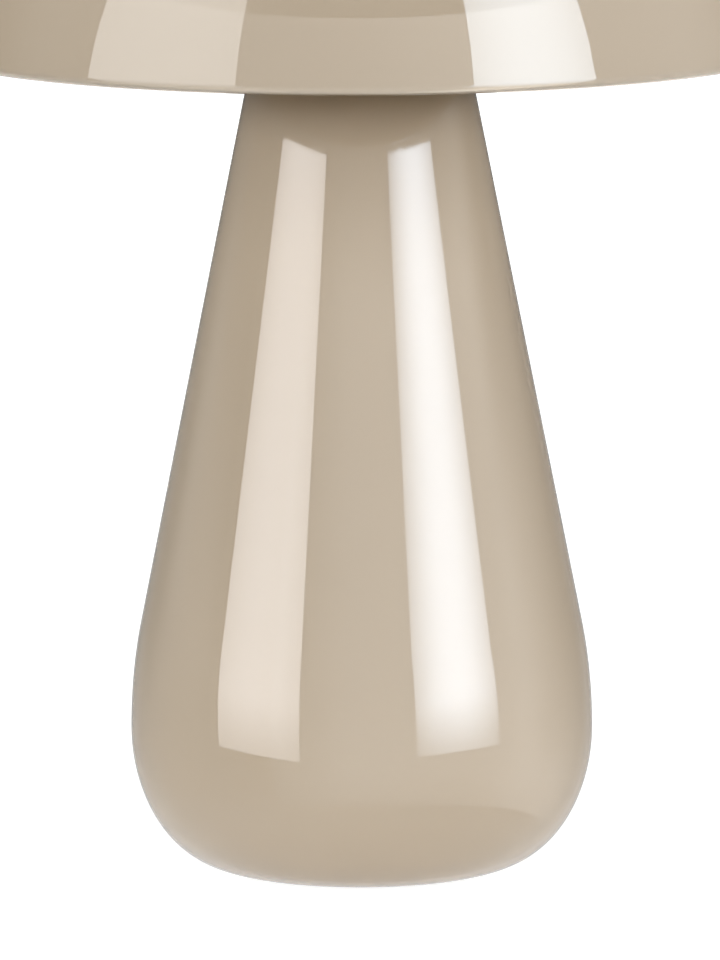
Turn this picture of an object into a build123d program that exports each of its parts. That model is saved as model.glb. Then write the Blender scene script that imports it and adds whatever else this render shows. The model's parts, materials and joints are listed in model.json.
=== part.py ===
from build123d import *

import os
from math import acos, atan2, cos, degrees, hypot, pi, sin, sqrt, tan

# A dome table lamp, in millimetres. Origin: centre of the surface it stands on.
# +Z is up, -Y is the front, where the switch knob points, and +Y is the back,
# where the mains cord comes in.

# Clearances and cutting allowance
fit_gap = 0.05
seat_gap = 0.25
loose_gap = 0.3
hole_gap = 0.5
overrun = 1.0

# Base shell: one spun sheet, teardrop outside, turned up inside its foot
shell_wall = 1.2
foot_lift = 0.8
foot_radius = 46.2
belly_radius = 80.0
belly_height = 48.8
belly_arc_radius = 189.0
neck_radius = 36.7
neck_top = 284.8
shoulder_radius = 3.0
neck_hole_radius = 26.0
recess_inset = 3.2
recess_depth = 6.9
bend_radius = 0.6

# Foot: soft pad, plate, its screws and the ballast
pad_thickness = 2.0
pad_side_gap = 1.0
pad_edge_radius = 0.4
plate_thickness = 2.0
plate_side_gap = 0.4
plate_screw_count = 3
plate_screw_inset = 12.0
plate_screw_radius = 1.5
plate_screw_head_radius = 2.9
plate_screw_length = 10.0
ballast_inset = 5.0
ballast_height = 40.0
ballast_edge_radius = 2.0
opening_gap = 1.0

# Stem: hollow threaded tube, its washer and nuts
stem_radius = 5.0
stem_bore_radius = 3.5
stem_tail = 1.1
stem_proud = 0.7
stem_chamfer = 0.5
pocket_radius = 13.0
pocket_depth = 10.0
washer_radius = 11.0
washer_thickness = 1.4
stem_nut_flats = 17.0
stem_nut_height = 5.0
neck_nut_flats = 14.0
neck_nut_height = 3.0
slot_width = 5.0
slot_rise = 18.0
slot_length = 16.0

# Neck cap and shade carrier: hub, three rods and their soft bushes
neck_cap_overlap = 4.0
neck_cap_thickness = 2.0
neck_cap_spigot = 3.0
neck_cap_edge = 0.8
spigot_gap = 0.2
hub_radius = 14.0
hub_height = 7.0
hub_edge = 1.0
arm_count = 3
first_arm_angle = 90.0
arm_radius = 2.5
arm_root_gap = 1.7
arm_knee_reach = 16.0
arm_pin_inset = 29.9
arm_rise = 23.7
arm_pin_length = 24.0
arm_knee_bend = 14.0
arm_pin_bend = 9.0
arm_end_chamfer = 0.8
collar_radius = 4.5
collar_thickness = 1.5
collar_drop = 7.5
bush_radius = 6.0
bush_height = 6.5
bush_edge_radius = 1.2

# Shade: spun dome with its rim turned in, and the lugs welded inside it
shade_wall = 1.0
shade_rim_rise = 1.1
shade_centre_drop = 20.0
shade_rise = 160.0
shade_reach = 155.9
crown_radius = 2.0
rim_bend_radius = 3.2
rim_lip = 1.2
lug_thickness = 1.5
lug_width = 16.0
lug_overhang = 8.5
lug_leg = 12.0
lug_corner = 3.0
lug_hole_radius = 3.2

# Cord gland: sits square to the wall, low at the back
gland_height = 24.8
gland_flange_radius = 7.0
gland_flange_thickness = 2.5
gland_flange_edge = 0.8
gland_barrel_radius = 4.9
gland_bore_radius = 3.2
gland_length = 13.0
gland_nut_flats = 13.0
gland_nut_height = 4.0
gland_nut_gap = 0.6
gland_hole_gap = 0.1

# Terminal block on the ballast, its sleeves and screws, and the earth terminal
block_width = 24.0
block_depth = 14.0
block_height = 10.0
block_stem_gap = 10.0
block_edge = 0.8
pole_pitch = 8.0
pole_height = 4.5
sleeve_radius = 2.2
sleeve_length = 12.0
clamp_screw_radius = 1.2
clamp_screw_reach = 3.5
clamp_screw_slot = 0.5
fixing_screw_radius = 1.25
fixing_screw_head_radius = 1.5
fixing_screw_head = 1.2
fixing_screw_depth = 7.0
lug_ring_radius = 4.0
earth_lug_thickness = 0.8
earth_x = 22.0
earth_y = -12.0
earth_barrel_start = 4.0
earth_barrel_length = 6.0
earth_barrel_radius = 1.7
earth_screw_radius = 1.9
earth_screw_head_radius = 3.4
earth_screw_head = 2.2
earth_screw_depth = 8.0

# Inner wires, and the points that they pass
wire_radius = 1.0
wire_pair_offset = 1.06
wire_lead = 6.0
wire_stem_gap = 2.5
wire_turn_rise = 16.0
wire_centre_rise = 36.0
earth_turn_gap = 3.0
wire_block_bend = 5.4
wire_side_bend = 18.0
wire_stem_bend = 50.0
wire_head_rise = 2.9
wire_head_bend = 3.0
wire_terminal_bend = 2.6

# Lampholder: cap, shell, liner, body with its contacts, and the switch
holder_radius = 16.0
holder_wall = 0.8
holder_height = 46.2
cap_wall = 1.0
cap_boss_radius = 7.5
cap_boss_height = 2.5
cap_skirt = 5.7
lock_screw_radius = 1.4
lock_screw_length = 4.5
liner_wall = 0.7
liner_gap = 0.1
liner_rim_drop = 2.0
body_lift = 9.7
body_height = 11.0
body_gap = 0.1
collar_gap = 0.1
collar_wall = 2.0
collar_rim_drop = 5.0
terminal_pocket_depth = 2.6
pocket_half_width = 3.0
contact_thickness = 0.5
contact_width = 3.0
blade_thickness = 0.4
terminal_screw_radius = 1.2
terminal_screw_head_radius = 2.4
terminal_screw_head = 1.4
terminal_screw_reach = 4.0
terminal_screw_lift = 6.0
chamber_half_width = 4.6
chamber_depth = 7.0
chamber_wall = 1.4
blade_entry_lift = 0.9
spindle_radius = 2.0
spindle_tail = 2.0
cam_size = 5.4
cam_corner = 0.6
cam_length = 4.5
cam_end_gap = 0.75
knob_radius = 6.5
knob_length = 12.0
knob_gap = 0.4
knob_grip_count = 14
knob_grip_radius = 0.7
knob_edge = 0.8
knob_bore_depth = 9.0

# Bulb: screw base, its insulator and contact, housing and diffuser
thread_radius = 6.95
thread_length = 15.0
insulator_height = 3.0
insulator_tip_radius = 3.6
bulb_contact_radius = 2.4
bulb_contact_height = 1.1
bulb_contact_gap = 0.1
tongue_rise = 2.3
screw_shell_wall = 0.5
screw_shell_gap = 0.05
bulb_radius = 22.5
bulb_above_holder = 54.0
bulb_wall = 1.2
housing_neck_radius = 8.0
housing_neck_height = 4.0
housing_join_radius = 18.6
housing_arc_radius = 30.0

up = (Align.CENTER, Align.CENTER, Align.MIN)


def disc(radius, bottom, top, bore=0):
    """An upright cylinder between two heights, with a bore through it if one is given."""
    solid = Pos(0, 0, bottom) * Cylinder(radius, top - bottom, align=up)
    if bore:
        solid -= Pos(0, 0, bottom - overrun) * Cylinder(bore, top - bottom + 2 * overrun, align=up)
    return solid


def block(low, high):
    """A box between its lowest and highest corners."""
    sizes = [b - a for a, b in zip(low, high)]
    middle = [(a + b) / 2 for a, b in zip(low, high)]
    return Pos(*middle) * Box(*sizes)


def turned(edges):
    """A solid of revolution about the lamp's axis, from edges drawn as radius and height."""
    return revolve(Plane.XZ * make_face(edges), axis=Axis.Z)


def turned_outline(*points):
    """A solid of revolution from the corners of its half section."""
    return turned(Polyline(*points, close=True))


def prism(flats, bottom, height, bore):
    """A hexagon nut across the given flats, with its bore."""
    nut = extrude(RegularPolygon(flats / 2, 6, major_radius=False), amount=height)
    nut -= Pos(0, 0, -overrun) * Cylinder(bore, height + 2 * overrun, align=up)
    return Pos(0, 0, bottom) * nut


def pin(radius, start, direction, length):
    """A round pin from a start point along a direction."""
    place = Plane(origin=start, z_dir=direction)
    return place * Cylinder(radius, length, align=up)


def round_rod(points, radii, radius):
    """A round rod swept along straight runs that tangent arcs join."""
    path = FilletPolyline(*points, radius=radii)
    section = Plane(origin=path @ 0, z_dir=path % 0) * Circle(radius)
    rod = sweep(section, path=path)
    expected = pi * radius ** 2 * path.length
    print("rod volume over section times length:", round(rod.volume / expected, 4))
    return rod


def around(shape, index):
    """The copy of a front-to-back shape at one of the carrier's arms."""
    return Rot(0, 0, first_arm_angle + index * 360 / arm_count) * shape


# What the foot's inner radii follow
recess_radius = foot_radius - recess_inset
ballast_radius = recess_radius - ballast_inset
plate_screw_circle = ballast_radius - plate_screw_inset

# The straight cone is tangent to the belly's arc and passes through the neck's corner.
belly_centre = (belly_radius - belly_arc_radius, belly_height)
neck_offset = (neck_radius - belly_centre[0], neck_top - belly_centre[1])
cone_angle = atan2(neck_offset[1], neck_offset[0]) - acos(belly_arc_radius / hypot(*neck_offset))
shoulder_setback = shoulder_radius * tan((pi / 2 - cone_angle) / 2)


def base_skin(inset):
    """The base's outline from foot to neck, lying inset inside its outer face."""
    arc_radius = belly_arc_radius - inset
    cone_foot = (belly_centre[0] + arc_radius * cos(cone_angle), belly_height + arc_radius * sin(cone_angle))
    shoulder_centre = (neck_radius - shoulder_setback, neck_top - shoulder_radius)
    roll = shoulder_radius - inset
    cone_head = (shoulder_centre[0] + roll * cos(cone_angle), shoulder_centre[1] + roll * sin(cone_angle))
    corner = EllipticalCenterArc(
        (foot_radius, belly_height),
        belly_radius - foot_radius - inset,
        belly_height - foot_lift - inset,
        -90,
        arc_size=90,
    )
    belly = CenterArc(belly_centre, arc_radius, 0, degrees(cone_angle))
    cone = Line(cone_foot, cone_head)
    shoulder = CenterArc(shoulder_centre, roll, degrees(cone_angle), 90 - degrees(cone_angle))
    return [corner, belly, cone, shoulder]


def base_solid(inset):
    """The whole space inside the base's outline, lying inset inside its outer face."""
    edges = base_skin(inset)
    foot = edges[0] @ 0
    head = edges[-1] @ 1
    closing = Polyline((head.X, head.Y), (0, head.Y), (0, foot.Y), (foot.X, foot.Y))
    return turned(edges + [closing])


# Foot and stem heights
plate_bottom = pad_thickness
plate_top = plate_bottom + plate_thickness
ballast_top = plate_top + ballast_height
flange_bottom = foot_lift + recess_depth
opening_radius = ballast_radius + opening_gap
plate_radius = recess_radius - plate_side_gap
pocket_top = plate_top + pocket_depth
washer_bottom = pocket_top - washer_thickness
stem_nut_bottom = washer_bottom - stem_nut_height
stem_bottom = stem_nut_bottom - stem_tail
slot_bottom = ballast_top + slot_rise
slot_top = slot_bottom + slot_length
stem_hole_radius = stem_radius + loose_gap
stem_thread_radius = stem_radius + fit_gap


def base_shell():
    outer = base_skin(0)
    inner = base_skin(shell_wall)
    head = outer[-1] @ 1
    inner_head = inner[-1] @ 1
    neck_edge = Polyline(
        (head.X, head.Y),
        (neck_hole_radius, head.Y),
        (neck_hole_radius, inner_head.Y),
        (inner_head.X, inner_head.Y),
    )
    outside_turn = FilletPolyline(
        (foot_radius, foot_lift),
        (recess_radius, foot_lift),
        (recess_radius, flange_bottom),
        (opening_radius, flange_bottom),
        radius=[bend_radius + shell_wall, bend_radius],
    )
    inside_turn = FilletPolyline(
        (foot_radius, foot_lift + shell_wall),
        (recess_radius + shell_wall, foot_lift + shell_wall),
        (recess_radius + shell_wall, flange_bottom + shell_wall),
        (opening_radius, flange_bottom + shell_wall),
        radius=[bend_radius, bend_radius + shell_wall],
    )
    lip = Line((opening_radius, flange_bottom), (opening_radius, flange_bottom + shell_wall))
    shell = turned(outer + [neck_edge] + inner + [outside_turn, lip, inside_turn])
    hole_radius = gland_barrel_radius + gland_hole_gap
    return shell - pin(hole_radius, gland_inside, gland_axis, gland_length + 2 * overrun)


# The gland stands square to the corner ellipse at its height.
corner_reach = belly_radius - foot_radius
corner_rise = belly_height - foot_lift
gland_sine = (gland_height - belly_height) / corner_rise
gland_cosine = sqrt(1 - gland_sine ** 2)
gland_point = (0, foot_radius + corner_reach * gland_cosine, gland_height)
gland_tilt = atan2(gland_sine / corner_rise, gland_cosine / corner_reach)
gland_axis = (0, cos(gland_tilt), sin(gland_tilt))
gland_inside = tuple(p - (gland_length - gland_flange_thickness) * a for p, a in zip(gland_point, gland_axis))


def along_gland(distance):
    """The point on the gland's axis at a distance outwards from the wall's outer face."""
    return tuple(p + distance * a for p, a in zip(gland_point, gland_axis))


def cord_gland():
    flange = pin(gland_flange_radius, gland_point, gland_axis, gland_flange_thickness)
    flange = fillet(flange.edges().sort_by(Axis(gland_point, gland_axis))[-1], gland_flange_edge)
    flange += pin(gland_flange_radius, along_gland(-shell_wall), gland_axis, shell_wall)
    flange -= base_solid(0)
    barrel = pin(gland_barrel_radius, gland_inside, gland_axis, gland_length - overrun)
    bore = pin(gland_bore_radius, along_gland(-gland_length), gland_axis, 2 * gland_length)
    return flange + barrel - bore


def cord_gland_nut():
    start = along_gland(-shell_wall - gland_nut_gap - gland_nut_height)
    nut = prism(gland_nut_flats, 0, gland_nut_height, gland_barrel_radius + fit_gap)
    return Plane(origin=start, z_dir=gland_axis) * nut


def base_pad():
    pad = disc(recess_radius - pad_side_gap, 0, pad_thickness)
    return fillet(pad.edges().sort_by(Axis.Z)[0], pad_edge_radius)


def plate_screw_places():
    """The countersunk screws' places on their circle."""
    return PolarLocations(plate_screw_circle, plate_screw_count)


def base_plate_screw(grow):
    """A countersunk screw, its outline grown by a clearance for the hole that it fills."""
    head_depth = plate_screw_head_radius - plate_screw_radius
    return turned_outline(
        (0, plate_bottom),
        (plate_screw_head_radius + grow, plate_bottom),
        (plate_screw_radius + grow, plate_bottom + head_depth),
        (plate_screw_radius + grow, plate_bottom + plate_screw_length + grow),
        (0, plate_bottom + plate_screw_length + grow),
    )


def base_plate():
    plate = disc(plate_radius, plate_bottom, plate_top)
    for place in plate_screw_places():
        plate -= place * base_plate_screw(fit_gap)
    return plate


def base_plate_screws():
    return [place * base_plate_screw(0) for place in plate_screw_places()]


def ballast():
    casting = disc(ballast_radius, plate_top, ballast_top)
    casting = fillet(casting.edges().sort_by(Axis.Z)[-1], ballast_edge_radius)
    flange = disc(plate_radius, plate_top, flange_bottom)
    casting += chamfer(flange.edges().sort_by(Axis.Z)[-1], bend_radius)
    casting -= disc(stem_hole_radius, plate_top - overrun, ballast_top + overrun)
    casting -= disc(pocket_radius, plate_top - overrun, pocket_top)
    for place in plate_screw_places():
        casting -= place * base_plate_screw(fit_gap)
    for x in fixing_screw_places:
        hole = disc(fixing_screw_radius + fit_gap, fixing_screw_bottom, ballast_top + overrun)
        casting -= Pos(x, block_centre) * hole
    earth_hole = disc(earth_screw_radius + fit_gap, earth_screw_bottom, ballast_top + overrun)
    return casting - Pos(earth_x, earth_y) * earth_hole


def stem_tube():
    tube = disc(stem_radius, stem_bottom, stem_top, stem_bore_radius)
    outer_edges = tube.edges().filter_by(GeomType.CIRCLE).filter_by(lambda e: e.radius > stem_bore_radius)
    tube = chamfer(outer_edges, stem_chamfer)
    slot_middle = (slot_bottom + slot_top) / 2
    outline = SlotOverall(slot_top - slot_bottom, slot_width, rotation=90)
    slot = Plane(origin=(0, 0, slot_middle), x_dir=(1, 0, 0), z_dir=(0, 1, 0)) * outline
    return tube - extrude(slot, amount=stem_radius + overrun)


def stem_washer():
    return disc(washer_radius, washer_bottom, pocket_top, stem_hole_radius)


def stem_nut():
    return prism(stem_nut_flats, stem_nut_bottom, stem_nut_height, stem_thread_radius)


# Neck stack heights
hub_bottom = neck_top + neck_cap_thickness
hub_top = hub_bottom + hub_height
arm_height = hub_bottom + hub_height / 2
holder_bottom = hub_top + neck_nut_height
holder_top = holder_bottom + holder_height
cap_floor = holder_bottom + cap_boss_height
cap_floor_top = cap_floor + cap_wall
stem_top = cap_floor_top + stem_proud
neck_cap_radius = neck_hole_radius + neck_cap_overlap


def neck_cap():
    cap = disc(neck_cap_radius, neck_top, hub_bottom)
    cap = chamfer(cap.edges().sort_by(Axis.Z)[-1], neck_cap_edge)
    cap += disc(neck_hole_radius - spigot_gap, neck_top - neck_cap_spigot, neck_top)
    return cap - disc(stem_hole_radius, neck_top - neck_cap_spigot - overrun, hub_bottom + overrun)


def carrier_hub():
    hub = disc(hub_radius, hub_bottom, hub_top)
    hub = chamfer(hub.edges().sort_by(Axis.Z)[-1], hub_edge)
    hub -= disc(stem_hole_radius, hub_bottom - overrun, hub_top + overrun)
    arm_hole = pin(arm_radius + fit_gap, (arm_root - fit_gap, 0, arm_height), (1, 0, 0), hub_radius)
    for index in range(arm_count):
        hub -= around(arm_hole, index)
    return hub


# Each arm runs out of the hub, rises to the pin circle and ends in an upright pin.
arm_root = stem_hole_radius + arm_root_gap
arm_knee = hub_radius + arm_knee_reach
arm_pin_circle = shade_reach - arm_pin_inset
arm_corner = arm_height + arm_rise
arm_end = arm_corner + arm_pin_length
collar_bottom = arm_corner + collar_drop
bush_bottom = collar_bottom + collar_thickness
bush_top = bush_bottom + bush_height
lug_bottom = bush_top + seat_gap
lug_top = lug_bottom + lug_thickness


def carrier_arm():
    points = [
        (arm_root, 0, arm_height),
        (arm_knee, 0, arm_height),
        (arm_pin_circle, 0, arm_corner),
        (arm_pin_circle, 0, arm_end),
    ]
    rod = round_rod(points, [arm_knee_bend, arm_pin_bend], arm_radius)
    rod = chamfer(rod.edges().sort_by(Axis.Z)[-1], arm_end_chamfer)
    return rod + Pos(arm_pin_circle, 0) * disc(collar_radius, collar_bottom, bush_bottom)


def carrier_bush():
    bush = disc(bush_radius, bush_bottom, bush_top)
    bush = fillet(bush.edges().sort_by(Axis.Z)[-1], bush_edge_radius)
    bush -= disc(arm_radius + fit_gap, bush_bottom - overrun, bush_top + overrun)
    return Pos(arm_pin_circle, 0) * bush


def neck_nut():
    return prism(neck_nut_flats, hub_top, neck_nut_height, stem_thread_radius)


# The shade's outline is part of an ellipse whose centre lies below the rim. Its crown has
# the small flat that the spinning lathe's tail block leaves.
shade_rim_height = neck_top + shade_rim_rise
shade_centre = shade_rim_height - shade_centre_drop


def shade_width(inset, height):
    """The dome's radius at a height, lying inset inside its outer face."""
    share = (height - shade_centre) / (shade_rise - inset)
    return (shade_reach - inset) * sqrt(1 - share ** 2)


def shade_arc(inset, height):
    """The dome's outline from a height up to its flat crown, lying inset inside its outer face."""
    reach = shade_reach - inset
    rise = shade_rise - inset
    start = degrees(atan2((height - shade_centre) / rise, shade_width(inset, height) / reach))
    crown = degrees(acos(crown_radius / reach))
    return EllipticalCenterArc((0, shade_centre), reach, rise, start, arc_size=crown - start)


def shade_space(inset, height):
    """The closed space under the dome, lying inset inside its outer face."""
    arc = shade_arc(inset, height)
    crown = tuple(arc @ 1)[:2]
    return turned([arc, Polyline(crown, (0, crown[1]), (0, height), tuple(arc @ 0)[:2])])


# The rim is bent inwards through a quarter circle and ends in a short flat lip, so the
# wall runs down into it without a step.
bend_height = shade_rim_height + rim_bend_radius
bend_centre = shade_width(0, bend_height) - rim_bend_radius
lip_top = shade_rim_height + shade_wall


def rim_bend(inset):
    """One face of the bent rim, from the lip up to the dome's wall."""
    across = shade_width(inset, bend_height) - bend_centre
    rise = rim_bend_radius - inset
    return EllipticalCenterArc((bend_centre, bend_height), across, rise, -90, arc_size=90)


def shade_dome():
    outer = shade_arc(0, bend_height)
    inner = shade_arc(shade_wall, bend_height)
    top = tuple(outer @ 1)[:2]
    under = tuple(inner @ 1)[:2]
    crown = Polyline(top, (0, top[1]), (0, under[1]), under)
    lip_end = bend_centre - rim_lip
    lip = Polyline(
        (bend_centre, shade_rim_height), (lip_end, shade_rim_height), (lip_end, lip_top), (bend_centre, lip_top)
    )
    return turned([outer, crown, inner, rim_bend(shade_wall), lip, rim_bend(0)])


def shade_lug():
    start = arm_pin_circle - lug_overhang
    half_width = lug_width / 2
    tab = block((start, -half_width, lug_bottom), (shade_reach, half_width, lug_top))
    tab = fillet(tab.edges().filter_by(Axis.Z).sort_by(Axis.X)[:2], lug_corner)
    tab -= Pos(arm_pin_circle, 0) * disc(lug_hole_radius, lug_bottom - overrun, lug_top + overrun)
    leg = block((start, -half_width, lug_bottom), (shade_reach, half_width, lug_bottom + lug_leg))
    leg -= shade_space(shade_wall + lug_thickness, shade_rim_height)
    return (tab + leg) & shade_space(shade_wall, shade_rim_height)


# Terminal block, standing on the ballast behind the stem
block_centre = stem_radius + block_stem_gap + block_depth / 2
block_low = (-block_width / 2, block_centre - block_depth / 2, ballast_top)
block_high = (block_width / 2, block_centre + block_depth / 2, ballast_top + block_height)
pole_places = [-pole_pitch, 0, pole_pitch]
pole_level = ballast_top + pole_height
fixing_screw_places = [-pole_pitch / 2, pole_pitch / 2]
fixing_screw_bottom = ballast_top - fixing_screw_depth
fixing_screw_seat = block_high[2] - fixing_screw_head
earth_screw_bottom = ballast_top - earth_screw_depth
clamp_rows = [block_centre - clamp_screw_reach, block_centre + clamp_screw_reach]
clamp_screw_bottom = pole_level + wire_radius + fit_gap
clamp_screw_top = block_high[2] - clamp_screw_slot
wire_front = block_low[1] - wire_lead
wire_turn_front = stem_radius + wire_stem_gap
wire_turn_height = ballast_top + wire_turn_rise
wire_centre_height = ballast_top + wire_centre_rise
wire_head_height = stem_top + wire_head_rise


def pole_bar(x, radius, length):
    """A round bar along one pole of the terminal block."""
    return pin(radius, (x, block_centre - length / 2, pole_level), (0, 1, 0), length)


def clamp_bars():
    """The clamp screws as plain upright bars."""
    bars = []
    for x in pole_places:
        for y in clamp_rows:
            bars.append(Pos(x, y) * disc(clamp_screw_radius, clamp_screw_bottom, clamp_screw_top))
    return bars


def terminal_block():
    body = block(block_low, block_high)
    body = chamfer(body.edges().filter_by(Axis.Z), block_edge)
    for x in pole_places:
        body -= pole_bar(x, sleeve_radius + fit_gap, sleeve_length)
        body -= pole_bar(x, wire_radius + loose_gap, block_depth + 2 * overrun)
        for y in clamp_rows:
            body -= Pos(x, y) * disc(clamp_screw_radius + fit_gap, pole_level, block_high[2] + overrun)
    for x in fixing_screw_places:
        place = Pos(x, block_centre)
        body -= place * disc(fixing_screw_radius + fit_gap, ballast_top - overrun, block_high[2] + overrun)
        body -= place * disc(fixing_screw_head_radius + fit_gap, fixing_screw_seat, block_high[2] + overrun)
    return body


def terminal_sleeves():
    sleeves = []
    for x in pole_places:
        sleeve = pole_bar(x, sleeve_radius, sleeve_length)
        sleeve -= pole_bar(x, wire_radius + fit_gap, 2 * sleeve_length)
        for y in clamp_rows:
            sleeve -= Pos(x, y) * disc(clamp_screw_radius + fit_gap, pole_level, block_high[2])
        sleeves.append(sleeve)
    return sleeves


def terminal_screws():
    screws = []
    for bar in clamp_bars():
        top = bar.center()
        half_slot = clamp_screw_slot / 2
        cut_low = (top.X - clamp_screw_radius, top.Y - half_slot, clamp_screw_top - clamp_screw_slot)
        cut_high = (top.X + clamp_screw_radius, top.Y + half_slot, clamp_screw_top + overrun)
        screws.append(bar - block(cut_low, cut_high))
    return screws


def block_fixing_screws():
    screws = []
    for x in fixing_screw_places:
        shank = disc(fixing_screw_radius, fixing_screw_bottom, fixing_screw_seat)
        head = disc(fixing_screw_head_radius, fixing_screw_seat, block_high[2])
        screws.append(Pos(x, block_centre) * (shank + head))
    return screws


# Earth terminal: a ring lug with its barrel towards the terminal block
lug_seat = ballast_top + earth_lug_thickness
barrel_level = ballast_top + earth_barrel_radius
barrel_start = earth_y + earth_barrel_start
barrel_end = barrel_start + earth_barrel_length


def earth_lug():
    place = Pos(earth_x, earth_y)
    strap_end = barrel_start - earth_y + overrun
    ring = disc(lug_ring_radius, ballast_top, lug_seat)
    strap = block((-earth_barrel_radius, 0, ballast_top), (earth_barrel_radius, strap_end, lug_seat))
    screw_hole = disc(earth_screw_radius + fit_gap, ballast_top - overrun, lug_seat + overrun)
    head_room = disc(earth_screw_head_radius + fit_gap, lug_seat, lug_seat + earth_screw_head + overrun)
    barrel = pin(earth_barrel_radius, (earth_x, barrel_start, barrel_level), (0, 1, 0), earth_barrel_length)
    bore = pin(wire_radius + fit_gap, (earth_x, earth_y, barrel_level), (0, 1, 0), 2 * (barrel_end - earth_y))
    return place * (ring + strap - screw_hole) + (barrel - bore - place * head_room)


def earth_screw():
    shank = disc(earth_screw_radius, earth_screw_bottom, lug_seat)
    head = disc(earth_screw_head_radius, lug_seat, lug_seat + earth_screw_head)
    head = chamfer(head.edges().sort_by(Axis.Z)[-1], stem_chamfer)
    cut_low = (-earth_screw_head_radius, -clamp_screw_slot, lug_seat + earth_screw_head / 2)
    cut_high = (earth_screw_head_radius, clamp_screw_slot, lug_seat + earth_screw_head + overrun)
    return Pos(earth_x, earth_y) * (shank + head - block(cut_low, cut_high))


def inner_wire(pole, side):
    """A lead from the terminal block through the stem to a terminal of the lampholder."""
    x = side * wire_pair_offset
    terminal_x = side * (pocket_plane + contact_thickness + wire_radius + fit_gap)
    points = [
        (pole, block_centre, pole_level),
        (pole, wire_front, pole_level),
        (x, wire_turn_front, wire_turn_height),
        (x, 0, wire_centre_height),
        (x, 0, wire_head_height),
        (terminal_x, 0, wire_head_height),
        (terminal_x, 0, terminal_screw_level - terminal_screw_head_radius - fit_gap),
    ]
    radii = [wire_block_bend, wire_side_bend, wire_stem_bend, wire_head_bend, wire_terminal_bend]
    return round_rod(points, radii, wire_radius)


def earth_wire():
    points = [
        (pole_places[2], block_centre, pole_level),
        (pole_places[2], wire_front, pole_level),
        (earth_x, barrel_end + earth_turn_gap, barrel_level),
        (earth_x, barrel_start + overrun, barrel_level),
    ]
    return round_rod(points, [wire_block_bend, wire_block_bend], wire_radius)


# Lampholder places
lock_screw_level = (holder_bottom + cap_floor_top) / 2
shell_inner = holder_radius - holder_wall
liner_outer = shell_inner - liner_gap
liner_inner = liner_outer - liner_wall
skirt_inner = holder_radius + fit_gap
skirt_outer = skirt_inner + cap_wall
body_bottom = holder_bottom + body_lift
body_top = body_bottom + body_height
body_radius = liner_inner - body_gap
pocket_plane = body_radius - terminal_pocket_depth
switch_level = body_bottom + body_height / 2
chamber_half_height = body_height / 2 - chamber_wall
terminal_screw_level = body_bottom + terminal_screw_lift
terminal_screw_end = pocket_plane - terminal_screw_reach
terminal_hole_radius = terminal_screw_radius + fit_gap
terminal_seat = pocket_plane + contact_thickness
tongue_top = body_top + tongue_rise
screw_shell_inner = thread_radius + screw_shell_gap
screw_shell_outer = screw_shell_inner + screw_shell_wall
collar_inner_radius = screw_shell_outer + collar_gap
collar_outer_radius = collar_inner_radius + collar_wall
collar_top = holder_top - collar_rim_drop
bulb_contact_bottom = tongue_top + bulb_contact_gap
insulator_bottom = bulb_contact_bottom + bulb_contact_height
thread_bottom = insulator_bottom + insulator_height
thread_top = thread_bottom + thread_length


def switch_bar(radius, front, back):
    """A round bar along the switch's axis, from its front end back towards the stem."""
    return pin(radius, (0, -front, switch_level), (0, 1, 0), front - back)


def socket_cap():
    cap = turned_outline(
        (stem_thread_radius, holder_bottom),
        (cap_boss_radius, holder_bottom),
        (cap_boss_radius, cap_floor),
        (skirt_outer, cap_floor),
        (skirt_outer, cap_floor + cap_skirt),
        (skirt_inner, cap_floor + cap_skirt),
        (skirt_inner, cap_floor_top),
        (stem_thread_radius, cap_floor_top),
    )
    hole = pin(lock_screw_radius + fit_gap, (0, 0, lock_screw_level), (0, 1, 0), 2 * cap_boss_radius)
    rim = cap.edges().filter_by(GeomType.CIRCLE).filter_by(lambda e: e.radius > skirt_inner + fit_gap)
    cap = chamfer(rim, cap_wall / 2)
    return cap - hole


def socket_lock_screw():
    screw = pin(lock_screw_radius, (0, stem_thread_radius, lock_screw_level), (0, 1, 0), lock_screw_length)
    end = stem_thread_radius + lock_screw_length
    half_slot = clamp_screw_slot / 2
    cut_low = (-lock_screw_radius, end - clamp_screw_slot, lock_screw_level - half_slot)
    cut_high = (lock_screw_radius, end + overrun, lock_screw_level + half_slot)
    return screw - block(cut_low, cut_high)


def socket_shell():
    shell = disc(holder_radius, cap_floor_top, holder_top, shell_inner)
    return shell - switch_bar(spindle_radius + loose_gap, 2 * holder_radius, 0)


def socket_liner():
    liner = disc(liner_outer, body_bottom, holder_top - liner_rim_drop, liner_inner)
    return liner - switch_bar(spindle_radius + loose_gap, 2 * holder_radius, 0)


# The switch chamber is a box in the body, in front of the lamp's axis.
chamber_low = (-chamber_half_width, -chamber_depth, switch_level - chamber_half_height)
chamber_high = (chamber_half_width, 0, switch_level + chamber_half_height)
half_contact = contact_width / 2
contact_back = -chamber_depth / 2 + half_contact
contact_front = contact_back - contact_width
blade_level = chamber_low[2] + blade_entry_lift


def centre_contact():
    """The contact that rises out of the switch chamber to a tongue under the bulb."""
    leg_side = chamber_half_width - blade_thickness
    foot_top = body_top + blade_thickness
    leg = block((leg_side, contact_front, switch_level), (chamber_half_width, contact_back, foot_top))
    foot = block((-half_contact, contact_front, body_top), (chamber_half_width, contact_back, foot_top))
    riser_side = blade_thickness - half_contact
    tongue_bottom = tongue_top - blade_thickness
    riser = block((-half_contact, contact_front, body_top), (riser_side, contact_back, tongue_top))
    tongue = block((-half_contact, contact_front, tongue_bottom), (half_contact, half_contact, tongue_top))
    return leg + foot + riser + tongue


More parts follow.
